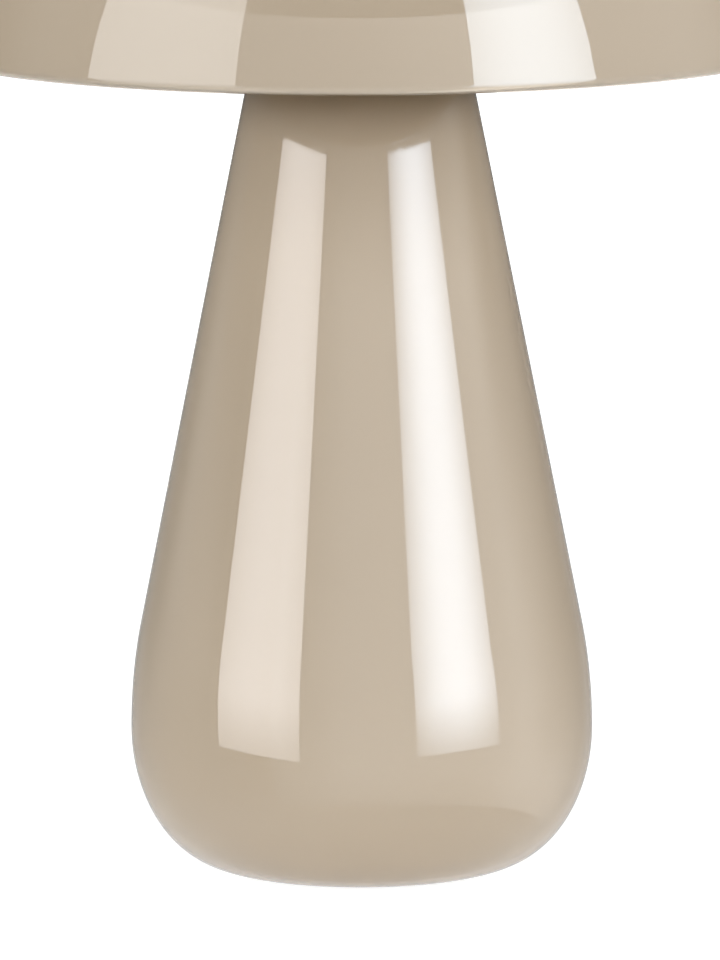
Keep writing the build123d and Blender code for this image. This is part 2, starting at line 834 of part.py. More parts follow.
def switch_blade():
    """The contact that leads from the live terminal into the switch chamber."""
    plate_front = -pocket_plane - contact_thickness
    finger_front = -chamber_half_width + blade_thickness
    blade_top = blade_level + blade_thickness
    plate = block(
        (plate_front, -half_contact, body_bottom + contact_thickness),
        (-pocket_plane, half_contact, body_top - contact_thickness),
    )
    strip = block((plate_front, contact_front, blade_level), (finger_front, half_contact, blade_top))
    finger = block(
        (-chamber_half_width, contact_front, blade_level),
        (finger_front, contact_back, switch_level + half_contact),
    )
    hole = pin(terminal_hole_radius, (0, 0, terminal_screw_level), (-1, 0, 0), 2 * pocket_plane)
    return plate + strip + finger - hole


def screw_shell():
    tube = disc(screw_shell_outer, body_top, thread_top - overrun, screw_shell_inner)
    strap = block(
        (screw_shell_inner + fit_gap, -half_contact, body_top),
        (pocket_plane + contact_thickness, half_contact, body_top + contact_thickness),
    )
    plate = block(
        (pocket_plane, -half_contact, body_bottom + contact_thickness),
        (pocket_plane + contact_thickness, half_contact, body_top + contact_thickness),
    )
    hole = pin(terminal_hole_radius, (screw_shell_outer, 0, terminal_screw_level), (1, 0, 0), pocket_plane)
    return tube + strap + plate - hole


def socket_body():
    body = disc(body_radius, body_bottom, body_top)
    body += disc(collar_outer_radius, body_top, collar_top, collar_inner_radius)
    for side in (-1, 1):
        near, far = sorted([side * pocket_plane, side * 2 * body_radius])
        body -= block(
            (near, -pocket_half_width, body_bottom - overrun),
            (far, pocket_half_width, collar_top + overrun),
        )
        screw_start = (side * terminal_screw_end, 0, terminal_screw_level)
        body -= pin(terminal_hole_radius, screw_start, (side, 0, 0), body_radius)
    body -= block(
        (0, -half_contact - fit_gap, body_top),
        (body_radius, half_contact + fit_gap, body_top + contact_thickness + fit_gap),
    )
    body -= block(chamber_low, chamber_high)
    body -= block(
        (chamber_half_width - blade_thickness, contact_front, switch_level),
        (chamber_half_width, contact_back, body_top + overrun),
    )
    blade_end = -chamber_half_width + blade_thickness + fit_gap
    body -= block(
        (-pocket_plane - overrun, contact_front - fit_gap, blade_level - fit_gap),
        (blade_end, half_contact + fit_gap, blade_level + blade_thickness + fit_gap),
    )
    return body - switch_bar(spindle_radius + fit_gap, 2 * body_radius, -spindle_tail - hole_gap)


def socket_terminal_screws():
    screws = []
    for side in (-1, 1):
        shank_start = (side * (terminal_screw_end + fit_gap), 0, terminal_screw_level)
        shank_length = terminal_seat - terminal_screw_end - fit_gap
        shank = pin(terminal_screw_radius, shank_start, (side, 0, 0), shank_length)
        seat = (side * terminal_seat, 0, terminal_screw_level)
        head = pin(terminal_screw_head_radius, seat, (side, 0, 0), terminal_screw_head)
        screws.append(shank + head)
    return screws


# Switch: the knob's spindle runs through the body's wall and turns in a blind hole behind the chamber.
knob_back = skirt_outer + knob_gap
knob_front = knob_back + knob_length
spindle_front = knob_back + knob_bore_depth


def switch_spindle():
    spindle = switch_bar(spindle_radius, spindle_front - fit_gap, -spindle_tail)
    return chamfer(spindle.edges().filter_by(GeomType.CIRCLE), stem_chamfer)


def switch_cam():
    front = chamber_depth - cam_end_gap
    outline = RectangleRounded(cam_size, cam_size, cam_corner)
    place = Plane(origin=(0, -front, switch_level), x_dir=(1, 0, 0), z_dir=(0, 1, 0))
    return place * extrude(outline, amount=cam_length) - switch_bar(spindle_radius + fit_gap, 2 * front, 0)


def switch_knob():
    knob = switch_bar(knob_radius, knob_front, knob_back)
    knob = fillet(knob.edges().sort_by(Axis.Y)[0], knob_edge)
    for index in range(knob_grip_count):
        angle = 2 * pi * index / knob_grip_count
        start = (knob_radius * cos(angle), -knob_front - overrun, switch_level + knob_radius * sin(angle))
        knob -= pin(knob_grip_radius, start, (0, 1, 0), knob_length)
    return knob - switch_bar(spindle_radius + fit_gap, spindle_front, 0)


# Bulb
bulb_top = holder_top + bulb_above_holder
globe_centre = bulb_top - bulb_radius
join_height = globe_centre - sqrt(bulb_radius ** 2 - housing_join_radius ** 2)
neck_end = thread_top + housing_neck_height


def bulb_contact():
    return disc(bulb_contact_radius, bulb_contact_bottom, insulator_bottom)


def bulb_insulator():
    return turned_outline(
        (0, insulator_bottom),
        (insulator_tip_radius, insulator_bottom),
        (thread_radius - bulb_wall, thread_bottom),
        (0, thread_bottom),
    )


def bulb_cap():
    return disc(thread_radius, thread_bottom, thread_top, thread_radius - screw_shell_wall)


def housing_line(inset):
    """The housing's flare from its neck to its joint with the diffuser."""
    start = (housing_neck_radius - inset, neck_end)
    end = (housing_join_radius - inset, join_height)
    return RadiusArc(start, end, housing_arc_radius)


def bulb_housing():
    outer = housing_line(0)
    inner = housing_line(bulb_wall)
    foot = Polyline(
        (housing_neck_radius - bulb_wall, neck_end),
        (housing_neck_radius - bulb_wall, thread_top),
        (housing_neck_radius, thread_top),
        (housing_neck_radius, neck_end),
    )
    rim = Line((housing_join_radius, join_height), (housing_join_radius - bulb_wall, join_height))
    return turned([foot, outer, rim, inner])


def bulb_diffuser():
    inner_radius = bulb_radius - bulb_wall
    globe = Pos(0, 0, globe_centre) * (Sphere(bulb_radius) - Sphere(inner_radius))
    return globe - disc(2 * bulb_radius, globe_centre - 2 * bulb_radius, join_height)


def save(name, shape):
    """Writes one sub-part; a list of shapes becomes one group of separate solids."""
    solids = shape if isinstance(shape, list) else [shape]
    pieces = [solid for piece in solids for solid in piece.solids()]
    result = pieces[0] if len(pieces) == 1 else Compound(children=pieces)
    export_step(result, "parts/" + name + ".step")


os.makedirs("parts", exist_ok=True)
save("base_shell", base_shell())
save("base_pad", base_pad())
save("base_plate", base_plate())
save("base_plate_screws", base_plate_screws())
save("ballast", ballast())
save("stem_tube", stem_tube())
save("stem_washer", stem_washer())
save("stem_nut", stem_nut())
save("neck_cap", neck_cap())
save("neck_nut", neck_nut())
save("carrier_hub", carrier_hub())
for index in range(arm_count):
    save("carrier_arm_" + str(index + 1), around(carrier_arm(), index))
    save("carrier_bush_" + str(index + 1), around(carrier_bush(), index))
    save("shade_lug_" + str(index + 1), around(shade_lug(), index))
save("shade_dome", shade_dome())
save("cord_gland", cord_gland())
save("cord_gland_nut", cord_gland_nut())
save("terminal_block", terminal_block())
save("terminal_sleeves", terminal_sleeves())
save("terminal_screws", terminal_screws())
save("block_fixing_screws", block_fixing_screws())
save("earth_lug", earth_lug())
save("earth_screw", earth_screw())
save("live_wire", inner_wire(pole_places[0], -1))
save("neutral_wire", inner_wire(pole_places[1], 1))
save("earth_wire", earth_wire())
save("socket_cap", socket_cap())
save("socket_lock_screw", socket_lock_screw())
save("socket_shell", socket_shell())
save("socket_liner", socket_liner())
save("socket_body", socket_body())
save("screw_shell", screw_shell())
save("centre_contact", centre_contact())
save("switch_blade", switch_blade())
save("socket_terminal_screws", socket_terminal_screws())
save("switch_knob", switch_knob())
save("switch_spindle", switch_spindle())
save("switch_cam", switch_cam())
save("bulb_cap", bulb_cap())
save("bulb_insulator", bulb_insulator())
save("bulb_contact", bulb_contact())
save("bulb_housing", bulb_housing())
save("bulb_diffuser", bulb_diffuser())
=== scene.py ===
# %% [markdown]
# # A dome table lamp in gloss enamel
#
# The lamp is a spun steel teardrop that carries a spun steel dome. Both wear the same
# warm beige gloss. This lesson dresses the measured solids of the lamp: large glossy
# skins are turned again with many segments, because a mirror finish shows every facet,
# and small hidden parts keep their solids and only get a finish. First the frame is
# loaded, and its box is kept.

# %% Load the measured solids
import json
import math

import bmesh
import bpy
from mathutils import Matrix, Vector


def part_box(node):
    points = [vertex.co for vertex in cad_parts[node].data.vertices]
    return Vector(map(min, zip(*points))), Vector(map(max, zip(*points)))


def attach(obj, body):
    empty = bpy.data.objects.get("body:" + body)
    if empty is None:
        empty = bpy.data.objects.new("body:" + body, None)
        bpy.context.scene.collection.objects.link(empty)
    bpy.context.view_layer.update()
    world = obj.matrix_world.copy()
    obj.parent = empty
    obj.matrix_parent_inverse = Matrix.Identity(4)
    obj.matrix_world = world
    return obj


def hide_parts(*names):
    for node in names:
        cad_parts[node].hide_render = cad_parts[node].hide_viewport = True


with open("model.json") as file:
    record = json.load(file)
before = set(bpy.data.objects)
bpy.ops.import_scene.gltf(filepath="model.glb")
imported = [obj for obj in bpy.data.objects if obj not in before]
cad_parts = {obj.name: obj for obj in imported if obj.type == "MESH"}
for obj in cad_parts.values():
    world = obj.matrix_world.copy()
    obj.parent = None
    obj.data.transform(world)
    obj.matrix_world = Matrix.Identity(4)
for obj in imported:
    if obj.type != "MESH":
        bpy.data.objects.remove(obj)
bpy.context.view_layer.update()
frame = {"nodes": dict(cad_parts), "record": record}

mm = 0.001
scene = bpy.context.scene

# %% [markdown]
# ## The camera
#
# The picture was taken from about three metres with a long lens, a little above the
# lamp, so its upright lines stay almost parallel. A long focal length and a distant
# camera give the same look. The frame cuts the dome off at the top and at both sides.

# %% Place the camera
camera_side = -0.0004
camera_place = Vector((camera_side, -3.2604, 0.6441))
camera_target = Vector((camera_side, 0, 0.1347))
camera_roll = math.radians(-0.15)

camera_data = bpy.data.cameras.new("photo_camera")
camera_data.sensor_width = 36
camera_data.lens = 357.8
camera_data.clip_end = 50
camera = bpy.data.objects.new("photo_camera", camera_data)
scene.collection.objects.link(camera)
camera.location = camera_place
aim = (camera_target - camera_place).to_track_quat("-Z", "Y")
camera.rotation_mode = "QUATERNION"
camera.rotation_quaternion = aim @ Matrix.Rotation(camera_roll, 3, "Z").to_quaternion()
scene.camera = camera
scene.view_settings.view_transform = "Standard"
print("camera distance in m:", round((camera_target - camera_place).length, 3))

# %% [markdown]
# ## Helpers for finishes
#
# A real finish is never one flat colour. Each effect that several finishes share, such
# as faint clouding, fine grain or handling marks, is a node group with named inputs. It
# is built once and placed in each material with its own values. The shader itself stays
# in the material, where its constants are set on its own sockets.

# %% Node group helper
def shader_group(name, inputs, outputs):
    """A new node group with named sockets; gives the tree and its two end nodes."""
    tree = bpy.data.node_groups.new(name, "ShaderNodeTree")
    for label, value in inputs.items():
        kind = "NodeSocketColor" if hasattr(value, "__len__") else "NodeSocketFloat"
        socket = tree.interface.new_socket(label, in_out="INPUT", socket_type=kind)
        socket.default_value = value
    for label, kind in outputs.items():
        tree.interface.new_socket(label, in_out="OUTPUT", socket_type=kind)
    return tree, tree.nodes.new("NodeGroupInput"), tree.nodes.new("NodeGroupOutput")


def noise_node(tree, scale, detail=3.0, roughness=0.5):
    """A noise texture on object coordinates; its scale is a number or an output."""
    place = tree.nodes.new("ShaderNodeTexCoord")
    noise = tree.nodes.new("ShaderNodeTexNoise")
    noise.inputs["Detail"].default_value = detail
    noise.inputs["Roughness"].default_value = roughness
    tree.links.new(place.outputs["Object"], noise.inputs["Vector"])
    if hasattr(scale, "links"):
        tree.links.new(scale, noise.inputs["Scale"])
    else:
        noise.inputs["Scale"].default_value = scale
    return noise.outputs["Fac"]


def maths(tree, operation, first, second, clamp=False):
    """A math node on two values, each a number or an output."""
    node = tree.nodes.new("ShaderNodeMath")
    node.operation = operation
    node.use_clamp = clamp
    for socket, value in zip(node.inputs, (first, second)):
        if hasattr(value, "links"):
            tree.links.new(value, socket)
        else:
            socket.default_value = value
    return node.outputs[0]


def mix_colours(tree, share, first, second):
    """A colour mix; each end is a colour or an output."""
    node = tree.nodes.new("ShaderNodeMix")
    node.data_type = "RGBA"
    tree.links.new(share, node.inputs["Factor"])
    for socket, value in ((node.inputs["A"], first), (node.inputs["B"], second)):
        if hasattr(value, "links"):
            tree.links.new(value, socket)
        else:
            socket.default_value = value
    return node.outputs["Result"]


def coordinates(tree):
    """The object coordinates, one output each."""
    place = tree.nodes.new("ShaderNodeTexCoord")
    parts = tree.nodes.new("ShaderNodeSeparateXYZ")
    tree.links.new(place.outputs["Object"], parts.inputs[0])
    return parts.outputs


def from_axis(tree):
    """How far a point is from the upright axis of the lamp."""
    x, y, z = coordinates(tree)
    square = maths(tree, "ADD", maths(tree, "MULTIPLY", x, x), maths(tree, "MULTIPLY", y, y))
    return maths(tree, "POWER", square, 0.5)


# %% Build the shared effects
swell_scale = 0.12
smear_start = 0.35
smear_gain = 3.0
waver_scale = 60.0


def build_clouding():
    """Two near colours that drift into each other, as pigment does in a poured coat."""
    inputs = {"First": (1, 1, 1, 1), "Second": (1, 1, 1, 1), "Scale": 20.0, "Contrast": 1.0}
    tree, start, end = shader_group("clouding", inputs, {"Colour": "NodeSocketColor"})
    cloud = noise_node(tree, start.outputs["Scale"])
    drift = maths(tree, "MULTIPLY", maths(tree, "SUBTRACT", cloud, 0.5), start.outputs["Contrast"])
    share = maths(tree, "ADD", drift, 0.5, clamp=True)
    colour = mix_colours(tree, share, start.outputs["First"], start.outputs["Second"])
    tree.links.new(colour, end.inputs["Colour"])
    return tree


def build_grain():
    """Fine even grain for moulded, cast and sprayed surfaces, with a coarser swell in it."""
    inputs = {"Scale": 800.0, "Swell": 0.3}
    tree, start, end = shader_group("grain", inputs, {"Height": "NodeSocketFloat"})
    fine = noise_node(tree, start.outputs["Scale"], detail=4.0, roughness=0.6)
    slow = noise_node(tree, maths(tree, "MULTIPLY", start.outputs["Scale"], swell_scale), detail=1.0)
    height = maths(tree, "ADD", fine, maths(tree, "MULTIPLY", slow, start.outputs["Swell"]))
    tree.links.new(height, end.inputs["Height"])
    return tree


def build_handling():
    """Roughness that wavers between two values where hands and cloths have passed."""
    inputs = {"Low": 0.1, "High": 0.2, "Scale": 30.0}
    tree, start, end = shader_group("handling", inputs, {"Roughness": "NodeSocketFloat"})
    smear = noise_node(tree, start.outputs["Scale"], detail=5.0, roughness=0.65)
    spread = maths(tree, "SUBTRACT", start.outputs["High"], start.outputs["Low"])
    share = maths(tree, "MULTIPLY", maths(tree, "SUBTRACT", smear, smear_start), smear_gain, clamp=True)
    rough = maths(tree, "ADD", maths(tree, "MULTIPLY", share, spread), start.outputs["Low"])
    tree.links.new(rough, end.inputs["Roughness"])
    return tree


def build_turning():
    """Fine rings round the lamp's axis, as a lathe tool leaves them."""
    inputs = {"Pitch": 4000.0, "Waver": 0.4}
    tree, start, end = shader_group("turning", inputs, {"Height": "NodeSocketFloat"})
    along = maths(tree, "ADD", from_axis(tree), coordinates(tree)["Z"])
    phase = maths(tree, "MULTIPLY", along, start.outputs["Pitch"])
    waver = maths(tree, "MULTIPLY", noise_node(tree, waver_scale), start.outputs["Waver"])
    rings = maths(tree, "SINE", maths(tree, "ADD", phase, waver), 0.0)
    tree.links.new(rings, end.inputs["Height"])
    return tree


effects = {
    "clouding": build_clouding(),
    "grain": build_grain(),
    "handling": build_handling(),
    "turning": build_turning(),
}
print("shared effects:", ", ".join(effects))

# %% [markdown]
# ## The finishes
#
# Each finish is one short table row: its colour pair, how glossy it is, whether it is
# metal, and how its surface is textured. One function turns a row into a material. The
# enamel has a smooth clear gloss with the faintest orange peel. Nickel and brass show
# turning rings, castings and mouldings show grain.

# %% Finish builder
relief_height = 0.1 * mm


def place_group(tree, effect, **values):
    """One of the shared effects, placed in a material with its own values."""
    node = tree.nodes.new("ShaderNodeGroup")
    node.node_tree = effects[effect]
    for label, value in values.items():
        node.inputs[label].default_value = value
    return node


def finish(
    name, colour, other, rough, texture="grain", pitch=800.0, depth=0.1, metal=0.0,
    ior=1.5, cloud_scale=20.0, smear_scale=30.0, contrast=2.0,
):
    """A material with clouded colour, wavering gloss and a fine relief."""
    material = bpy.data.materials.new(name)
    material.use_nodes = True
    tree = material.node_tree
    shader = tree.nodes["Principled BSDF"]
    shader.inputs["Metallic"].default_value = metal
    shader.inputs["IOR"].default_value = ior
    cloud = place_group(
        tree, "clouding", First=(*colour, 1), Second=(*other, 1), Scale=cloud_scale, Contrast=contrast
    )
    tree.links.new(cloud.outputs["Colour"], shader.inputs["Base Color"])
    gloss = place_group(tree, "handling", Low=rough[0], High=rough[1], Scale=smear_scale)
    tree.links.new(gloss.outputs["Roughness"], shader.inputs["Roughness"])
    size = "Pitch" if texture == "turning" else "Scale"
    relief = place_group(tree, texture, **{size: pitch})
    bump = tree.nodes.new("ShaderNodeBump")
    bump.inputs["Strength"].default_value = depth
    bump.inputs["Distance"].default_value = relief_height
    tree.links.new(relief.outputs["Height"], bump.inputs["Height"])
    tree.links.new(bump.outputs["Normal"], shader.inputs["Normal"])
    return material


# %% Mix the finishes
enamel_colour = (0.478, 0.389, 0.284)
enamel_other = (0.466, 0.378, 0.275)
finishes = {
    "beige_enamel": finish(
        "beige_enamel", enamel_colour, enamel_other, (0.01, 0.02), pitch=260.0, depth=0.02,
        cloud_scale=14.0, smear_scale=12.0,
    ),
    "foot_rubber": finish(
        "foot_rubber", (0.03, 0.03, 0.032), (0.045, 0.044, 0.045), (0.8, 0.95), pitch=2200.0, depth=0.8,
    ),
    "zinc_steel": finish(
        "zinc_steel", (0.55, 0.56, 0.57), (0.62, 0.62, 0.60), (0.3, 0.45), "turning", depth=0.15,
        metal=1.0, cloud_scale=160.0,
    ),
    "cast_weight": finish(
        "cast_weight", (0.085, 0.085, 0.09), (0.11, 0.105, 0.105), (0.5, 0.7), pitch=900.0, depth=0.9,
        cloud_scale=90.0,
    ),
    "nickel_steel": finish(
        "nickel_steel", (0.62, 0.60, 0.565), (0.66, 0.64, 0.60), (0.2, 0.32), "turning", depth=0.2,
        metal=1.0, cloud_scale=50.0,
    ),
    "silicone": finish(
        "silicone", (0.62, 0.60, 0.56), (0.68, 0.66, 0.62), (0.45, 0.6), pitch=1500.0, depth=0.3, ior=1.41,
    ),
    "gland_nylon": finish(
        "gland_nylon", (0.40, 0.33, 0.245), (0.43, 0.355, 0.265), (0.4, 0.55), pitch=2600.0, depth=0.4,
    ),
    "block_plastic": finish(
        "block_plastic", (0.72, 0.71, 0.68), (0.76, 0.75, 0.71), (0.35, 0.5), pitch=2000.0, depth=0.3,
    ),
    "plain_brass": finish(
        "plain_brass", (0.72, 0.52, 0.24), (0.66, 0.46, 0.22), (0.18, 0.3), "turning", depth=0.15,
        metal=1.0, cloud_scale=90.0,
    ),
    "brown_insulation": finish(
        "brown_insulation", (0.12, 0.05, 0.025), (0.14, 0.06, 0.03), (0.35, 0.45), pitch=1500.0,
    ),
    "blue_insulation": finish(
        "blue_insulation", (0.03, 0.10, 0.40), (0.035, 0.12, 0.45), (0.35, 0.45), pitch=1500.0,
    ),
    "liner_card": finish(
        "liner_card", (0.30, 0.16, 0.08), (0.36, 0.20, 0.10), (0.45, 0.65), pitch=1200.0, depth=0.4,
        cloud_scale=220.0,
    ),
    "phenolic": finish(
        "phenolic", (0.02, 0.017, 0.015), (0.03, 0.026, 0.022), (0.18, 0.3), pitch=900.0, depth=0.12,
        ior=1.6,
    ),
    "bulb_white": finish(
        "bulb_white", (0.80, 0.80, 0.78), (0.83, 0.83, 0.80), (0.2, 0.3), pitch=1800.0, depth=0.1,
    ),
    "cap_metal": finish(
        "cap_metal", (0.60, 0.60, 0.60), (0.66, 0.66, 0.65), (0.22, 0.34), pitch=1600.0, depth=0.2,
        metal=1.0,
    ),
    "black_insulator": finish(
        "black_insulator", (0.015, 0.015, 0.015), (0.022, 0.021, 0.02), (0.12, 0.2), pitch=900.0,
    ),
}
print("finishes so far:", len(finishes))

# %% [markdown]
# The bulb's opal cover scatters light under its skin, so it gets some subsurface. The
# earth lead is green with a yellow stripe wound along it, which is made from bands along
# the lead.

# %% Opal cover and striped lead
opal_scatter = 0.25
opal_depth = 2 * mm
stripe_scale = 60.0
stripe_edge = 0.72


def opal():
    """A near white that lets light in a little and scatters it."""
    material = finish(
        "opal_diffuser", (0.86, 0.85, 0.82), (0.89, 0.88, 0.85), (0.25, 0.35), pitch=1500.0, depth=0.08
    )
    shader = material.node_tree.nodes["Principled BSDF"]
    shader.inputs["Subsurface Weight"].default_value = opal_scatter
    shader.inputs["Subsurface Scale"].default_value = opal_depth
    return material


def striped_lead():
    """Green insulation with slanting bands of yellow."""
    green, yellow = (0.05, 0.30, 0.05, 1), (0.75, 0.60, 0.04, 1)
    material = finish("earth_insulation", green[:3], green[:3], (0.35, 0.45), pitch=1500.0)
    tree = material.node_tree
    place = tree.nodes.new("ShaderNodeTexCoord")
    wave = tree.nodes.new("ShaderNodeTexWave")
    wave.bands_direction = "DIAGONAL"
    wave.inputs["Scale"].default_value = stripe_scale
    tree.links.new(place.outputs["Object"], wave.inputs["Vector"])
    edge = maths(tree, "GREATER_THAN", wave.outputs["Fac"], stripe_edge)
    colour = mix_colours(tree, edge, green, yellow)
    tree.links.new(colour, tree.nodes["Principled BSDF"].inputs["Base Color"])
    return material


finishes["opal_diffuser"] = opal()
finishes["earth_insulation"] = striped_lead()
print("finishes in all:", len(finishes))

# %% Give every solid the finish of its slot
for row in frame["record"]["subparts"]:
    node = frame["nodes"][row["node"]]
    node.data.materials.clear()
    node.data.materials.append(finishes[row["material_slot"]])

# %% [markdown]
# ## Turning and finishing a piece
#
# Most of the lamp is spun or turned, so most pieces are made as on a lathe: half of the
# cross-section is drawn as a wire of corners and arcs, and bmesh's spin operator turns
# it once round the lamp's axis. Corners are then rounded with bevel: their edges are found
# by the steep angle between their faces, and by where they lie. Faces that still meet at a
# steep angle keep a sharp edge, and all others are shaded smooth.

# %% Turning helpers
weld = 0.001 * mm
edge_slack = 0.1 * mm


def arc(centre, reach, start, end, steps=8, rise=None):
    """Points on a round or elliptical arc, as radius and height, angles in degrees."""
    rise = reach if rise is None else rise
    angles = [math.radians(start + (end - start) * step / steps) for step in range(steps + 1)]
    return [(centre[0] + reach * math.cos(a), centre[1] + rise * math.sin(a)) for a in angles]


def lathe(outline, segments=96, closed=True):
    """A bmesh turned from a wire of points given as radius and height."""
    bm = bmesh.new()
    verts = [bm.verts.new((radius, 0, height)) for radius, height in outline]
    edges = [bm.edges.new(pair) for pair in zip(verts, verts[1:])]
    if closed:
        edges.append(bm.edges.new((verts[-1], verts[0])))
    bmesh.ops.spin(
        bm, geom=verts + edges, cent=(0, 0, 0), axis=(0, 0, 1), dvec=(0, 0, 0),
        angle=2 * math.pi, steps=segments, use_merge=True,
    )
    bmesh.ops.remove_doubles(bm, verts=bm.verts, dist=weld)
    bmesh.ops.recalc_face_normals(bm, faces=bm.faces)
    return bm


def beyond(radius, height=-math.inf):
    """A test for a place: farther from the axis than a radius, and higher than a height."""
    return lambda place: place.xy.length > radius and place.z > height


def round_rings(bm, radius, segments=3, test=None, steep=35):
    """Rounds the steep edges, or those of them whose middle passes a test."""
    edges = []
    for edge in bm.edges:
        middle = (edge.verts[0].co + edge.verts[1].co) / 2
        if edge.calc_face_angle(0) > math.radians(steep) and (test is None or test(middle)):
            edges.append(edge)
    bmesh.ops.bevel(
        bm, geom=edges, offset=radius, segments=segments, profile=0.5, affect="EDGES",
        material=-1, clamp_overlap=True,
    )
    return bm


def piece(name, bm, body, slot, *nodes, sharp=40):
    """Turns a bmesh into a named piece that rides on a body and stands for its solids."""
    for face in bm.faces:
        face.smooth = True
    for edge in bm.edges:
        edge.smooth = edge.calc_face_angle(0) < math.radians(sharp)
    mesh = bpy.data.meshes.new(name)
    bm.to_mesh(mesh)
    bm.free()
    mesh.materials.append(finishes[slot])
    thing = bpy.data.objects.new(name, mesh)
    scene.collection.objects.link(thing)
    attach(thing, body)
    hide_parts(*nodes)
    print(name, "has", len(mesh.polygons), "faces")


def drill(bm, radius, start, direction, length):
    """Cuts a round hole through a bmesh, and gives the cut one back."""
    cutter = bmesh.new()
    bmesh.ops.create_cone(
        cutter, cap_ends=True, segments=48, radius1=radius, radius2=radius, depth=length
    )
    turn = Vector(direction).to_track_quat("Z", "Y").to_matrix().to_4x4()
    middle = Vector(start) + Vector(direction).normalized() * length / 2
    cutter.transform(Matrix.Translation(middle) @ turn)
    work = []
    for label, source in (("drilled", bm), ("drill", cutter)):
        mesh = bpy.data.meshes.new(label)
        source.to_mesh(mesh)
        source.free()
        work.append(bpy.data.objects.new(label, mesh))
        scene.collection.objects.link(work[-1])
    cut = work[0].modifiers.new("hole", "BOOLEAN")
    cut.object = work[1]
    cut.solver = "EXACT"
    result = bmesh.new()
    result.from_object(work[0], bpy.context.evaluated_depsgraph_get())
    for thing in work:
        bpy.data.objects.remove(thing)
    return result


# %% [markdown]
# ## The teardrop base
#
# The base is one sheet of steel, spun over a former: a rounded lower corner, a full
# belly, a straight cone and a small shoulder at the neck. Its lower edge is turned up
# inside the foot, so that it holds the plate and the weight. The outline follows those
# real forms: an elliptical corner, a long arc, a straight line that is tangent to the
# arc, and a shoulder. It is drawn twice, once for each face of the sheet.

# %% Sizes of the base
base_low, base_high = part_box("base_shell")
belly_radius = base_high.x
neck_top = base_high.z
foot_lift = base_low.z
shell_wall = 1.2 * mm
foot_radius = 46.2 * mm
belly_height = 48.8 * mm
belly_arc = 189 * mm
neck_radius = 36.7 * mm
shoulder = 3 * mm
neck_hole = 26 * mm
recess_radius = 43 * mm
recess_depth = 6.9 * mm
weight_hole = 39 * mm
turn_in = 0.6 * mm
cone_steps = 12

belly_centre = (belly_radius - belly_arc, belly_height)
neck_reach = math.hypot(neck_radius - belly_centre[0], neck_top - belly_height)
neck_angle = math.atan2(neck_top - belly_height, neck_radius - belly_centre[0])
cone_angle = neck_angle - math.acos(belly_arc / neck_reach)
print("the cone leans in by", round(math.degrees(cone_angle), 2), "degrees")


# %% Spin the base
def base_outline(inset):
    """One face of the base's sheet, from foot to neck."""
    lean = math.degrees(cone_angle)
    setback = shoulder * math.tan((math.pi / 2 - cone_angle) / 2)
    corner = arc(
        (foot_radius, belly_height), belly_radius - foot_radius - inset, -90, 0,
        steps=48, rise=belly_height - foot_lift - inset,
    )
    belly = arc(belly_centre, belly_arc - inset, 0, lean, steps=24)
    roll = arc((neck_radius - setback, neck_top - shoulder), shoulder - inset, lean, 90)
    cone = [
        tuple(a + (b - a) * step / cone_steps for a, b in zip(belly[-1], roll[0]))
        for step in range(1, cone_steps)
    ]
    return corner + belly[1:] + cone + roll


def foot_turn():
    """The sheet's lower edge, turned up inside the foot and inwards, from its inner face."""
    outer = turn_in + shell_wall
    top = foot_lift + recess_depth
    low_bend = (recess_radius + outer, foot_lift + outer)
    high_bend = (recess_radius - turn_in, top - turn_in)
    inner_face = arc(low_bend, turn_in, 270, 180, steps=4) + arc(high_bend, outer, 0, 90, steps=6)
    outer_face = arc(high_bend, turn_in, 90, 0, steps=4) + arc(low_bend, outer, 180, 270, steps=6)
    return inner_face + [(weight_hole, top + shell_wall), (weight_hole, top)] + outer_face


sheet = base_outline(0) + [(neck_hole, neck_top), (neck_hole, neck_top - shell_wall)]
sheet += base_outline(shell_wall)[::-1] + foot_turn()
base = lathe(sheet, segments=224)
print("faces of the base before it is drilled:", len(base.faces))

# %% [markdown]
# The cord comes in low at the back, through a gland that stands square to the wall. Its
# place is worked out from the corner's ellipse, and the hole for it is drilled through
# the sheet with a boolean, because a round hole in a curved wall has no simpler operator.

# %% Drill the cord hole and place the base
gland_height = 24.8 * mm
cord_hole = 5 * mm
drill_reach = 20 * mm
corner_rise = belly_height - foot_lift
corner_reach = belly_radius - foot_radius
gland_drop = (gland_height - belly_height) / corner_rise
gland_side = math.sqrt(1 - gland_drop ** 2)
gland_point = Vector((0, foot_radius + corner_reach * gland_side, gland_height))
gland_axis = Vector((0, gland_side / corner_reach, gland_drop / corner_rise)).normalized()
base = drill(base, cord_hole, gland_point - gland_axis * drill_reach, gland_axis, 2 * drill_reach)
piece("teardrop_base", base, "lamp_base", "beige_enamel", "base_shell")
print("cord hole at", [round(v / mm, 1) for v in gland_point])

# %% [markdown]
# ## The dome shade
#
# The dome is spun from one disc of sheet as well. Its outline is part of an ellipse. The
# rim is bent inwards through a soft quarter round and ends in a short lip, so no raw edge
# shows. The bend starts in line with the wall, so that the gloss runs into it without a
# break. All of this is one outline from axis to axis, turned once.

# %% Sizes of the dome
dome_low, dome_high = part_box("shade_dome")
shade_wall = 1.0 * mm
rim_bend = 3.2 * mm
rim_lip = 1.2 * mm
crown_flat = 2 * mm
rough_reach = 155.9 * mm
shade_drop = 20 * mm
shade_centre = dome_low.z - shade_drop
shade_rise = dome_high.z - shade_centre
print("the ellipse of the dome rises, in mm:", round(shade_rise / mm, 1))


# %% Spin the dome
def dome_arc(inset, height):
    """One face of the dome's sheet, from a height up to the crown."""
    start = math.degrees(math.asin((height - shade_centre) / (shade_rise - inset)))
    end = math.degrees(math.acos(crown_flat / (shade_reach - inset)))
    return arc((0, shade_centre), shade_reach - inset, start, end, steps=90, rise=shade_rise - inset)


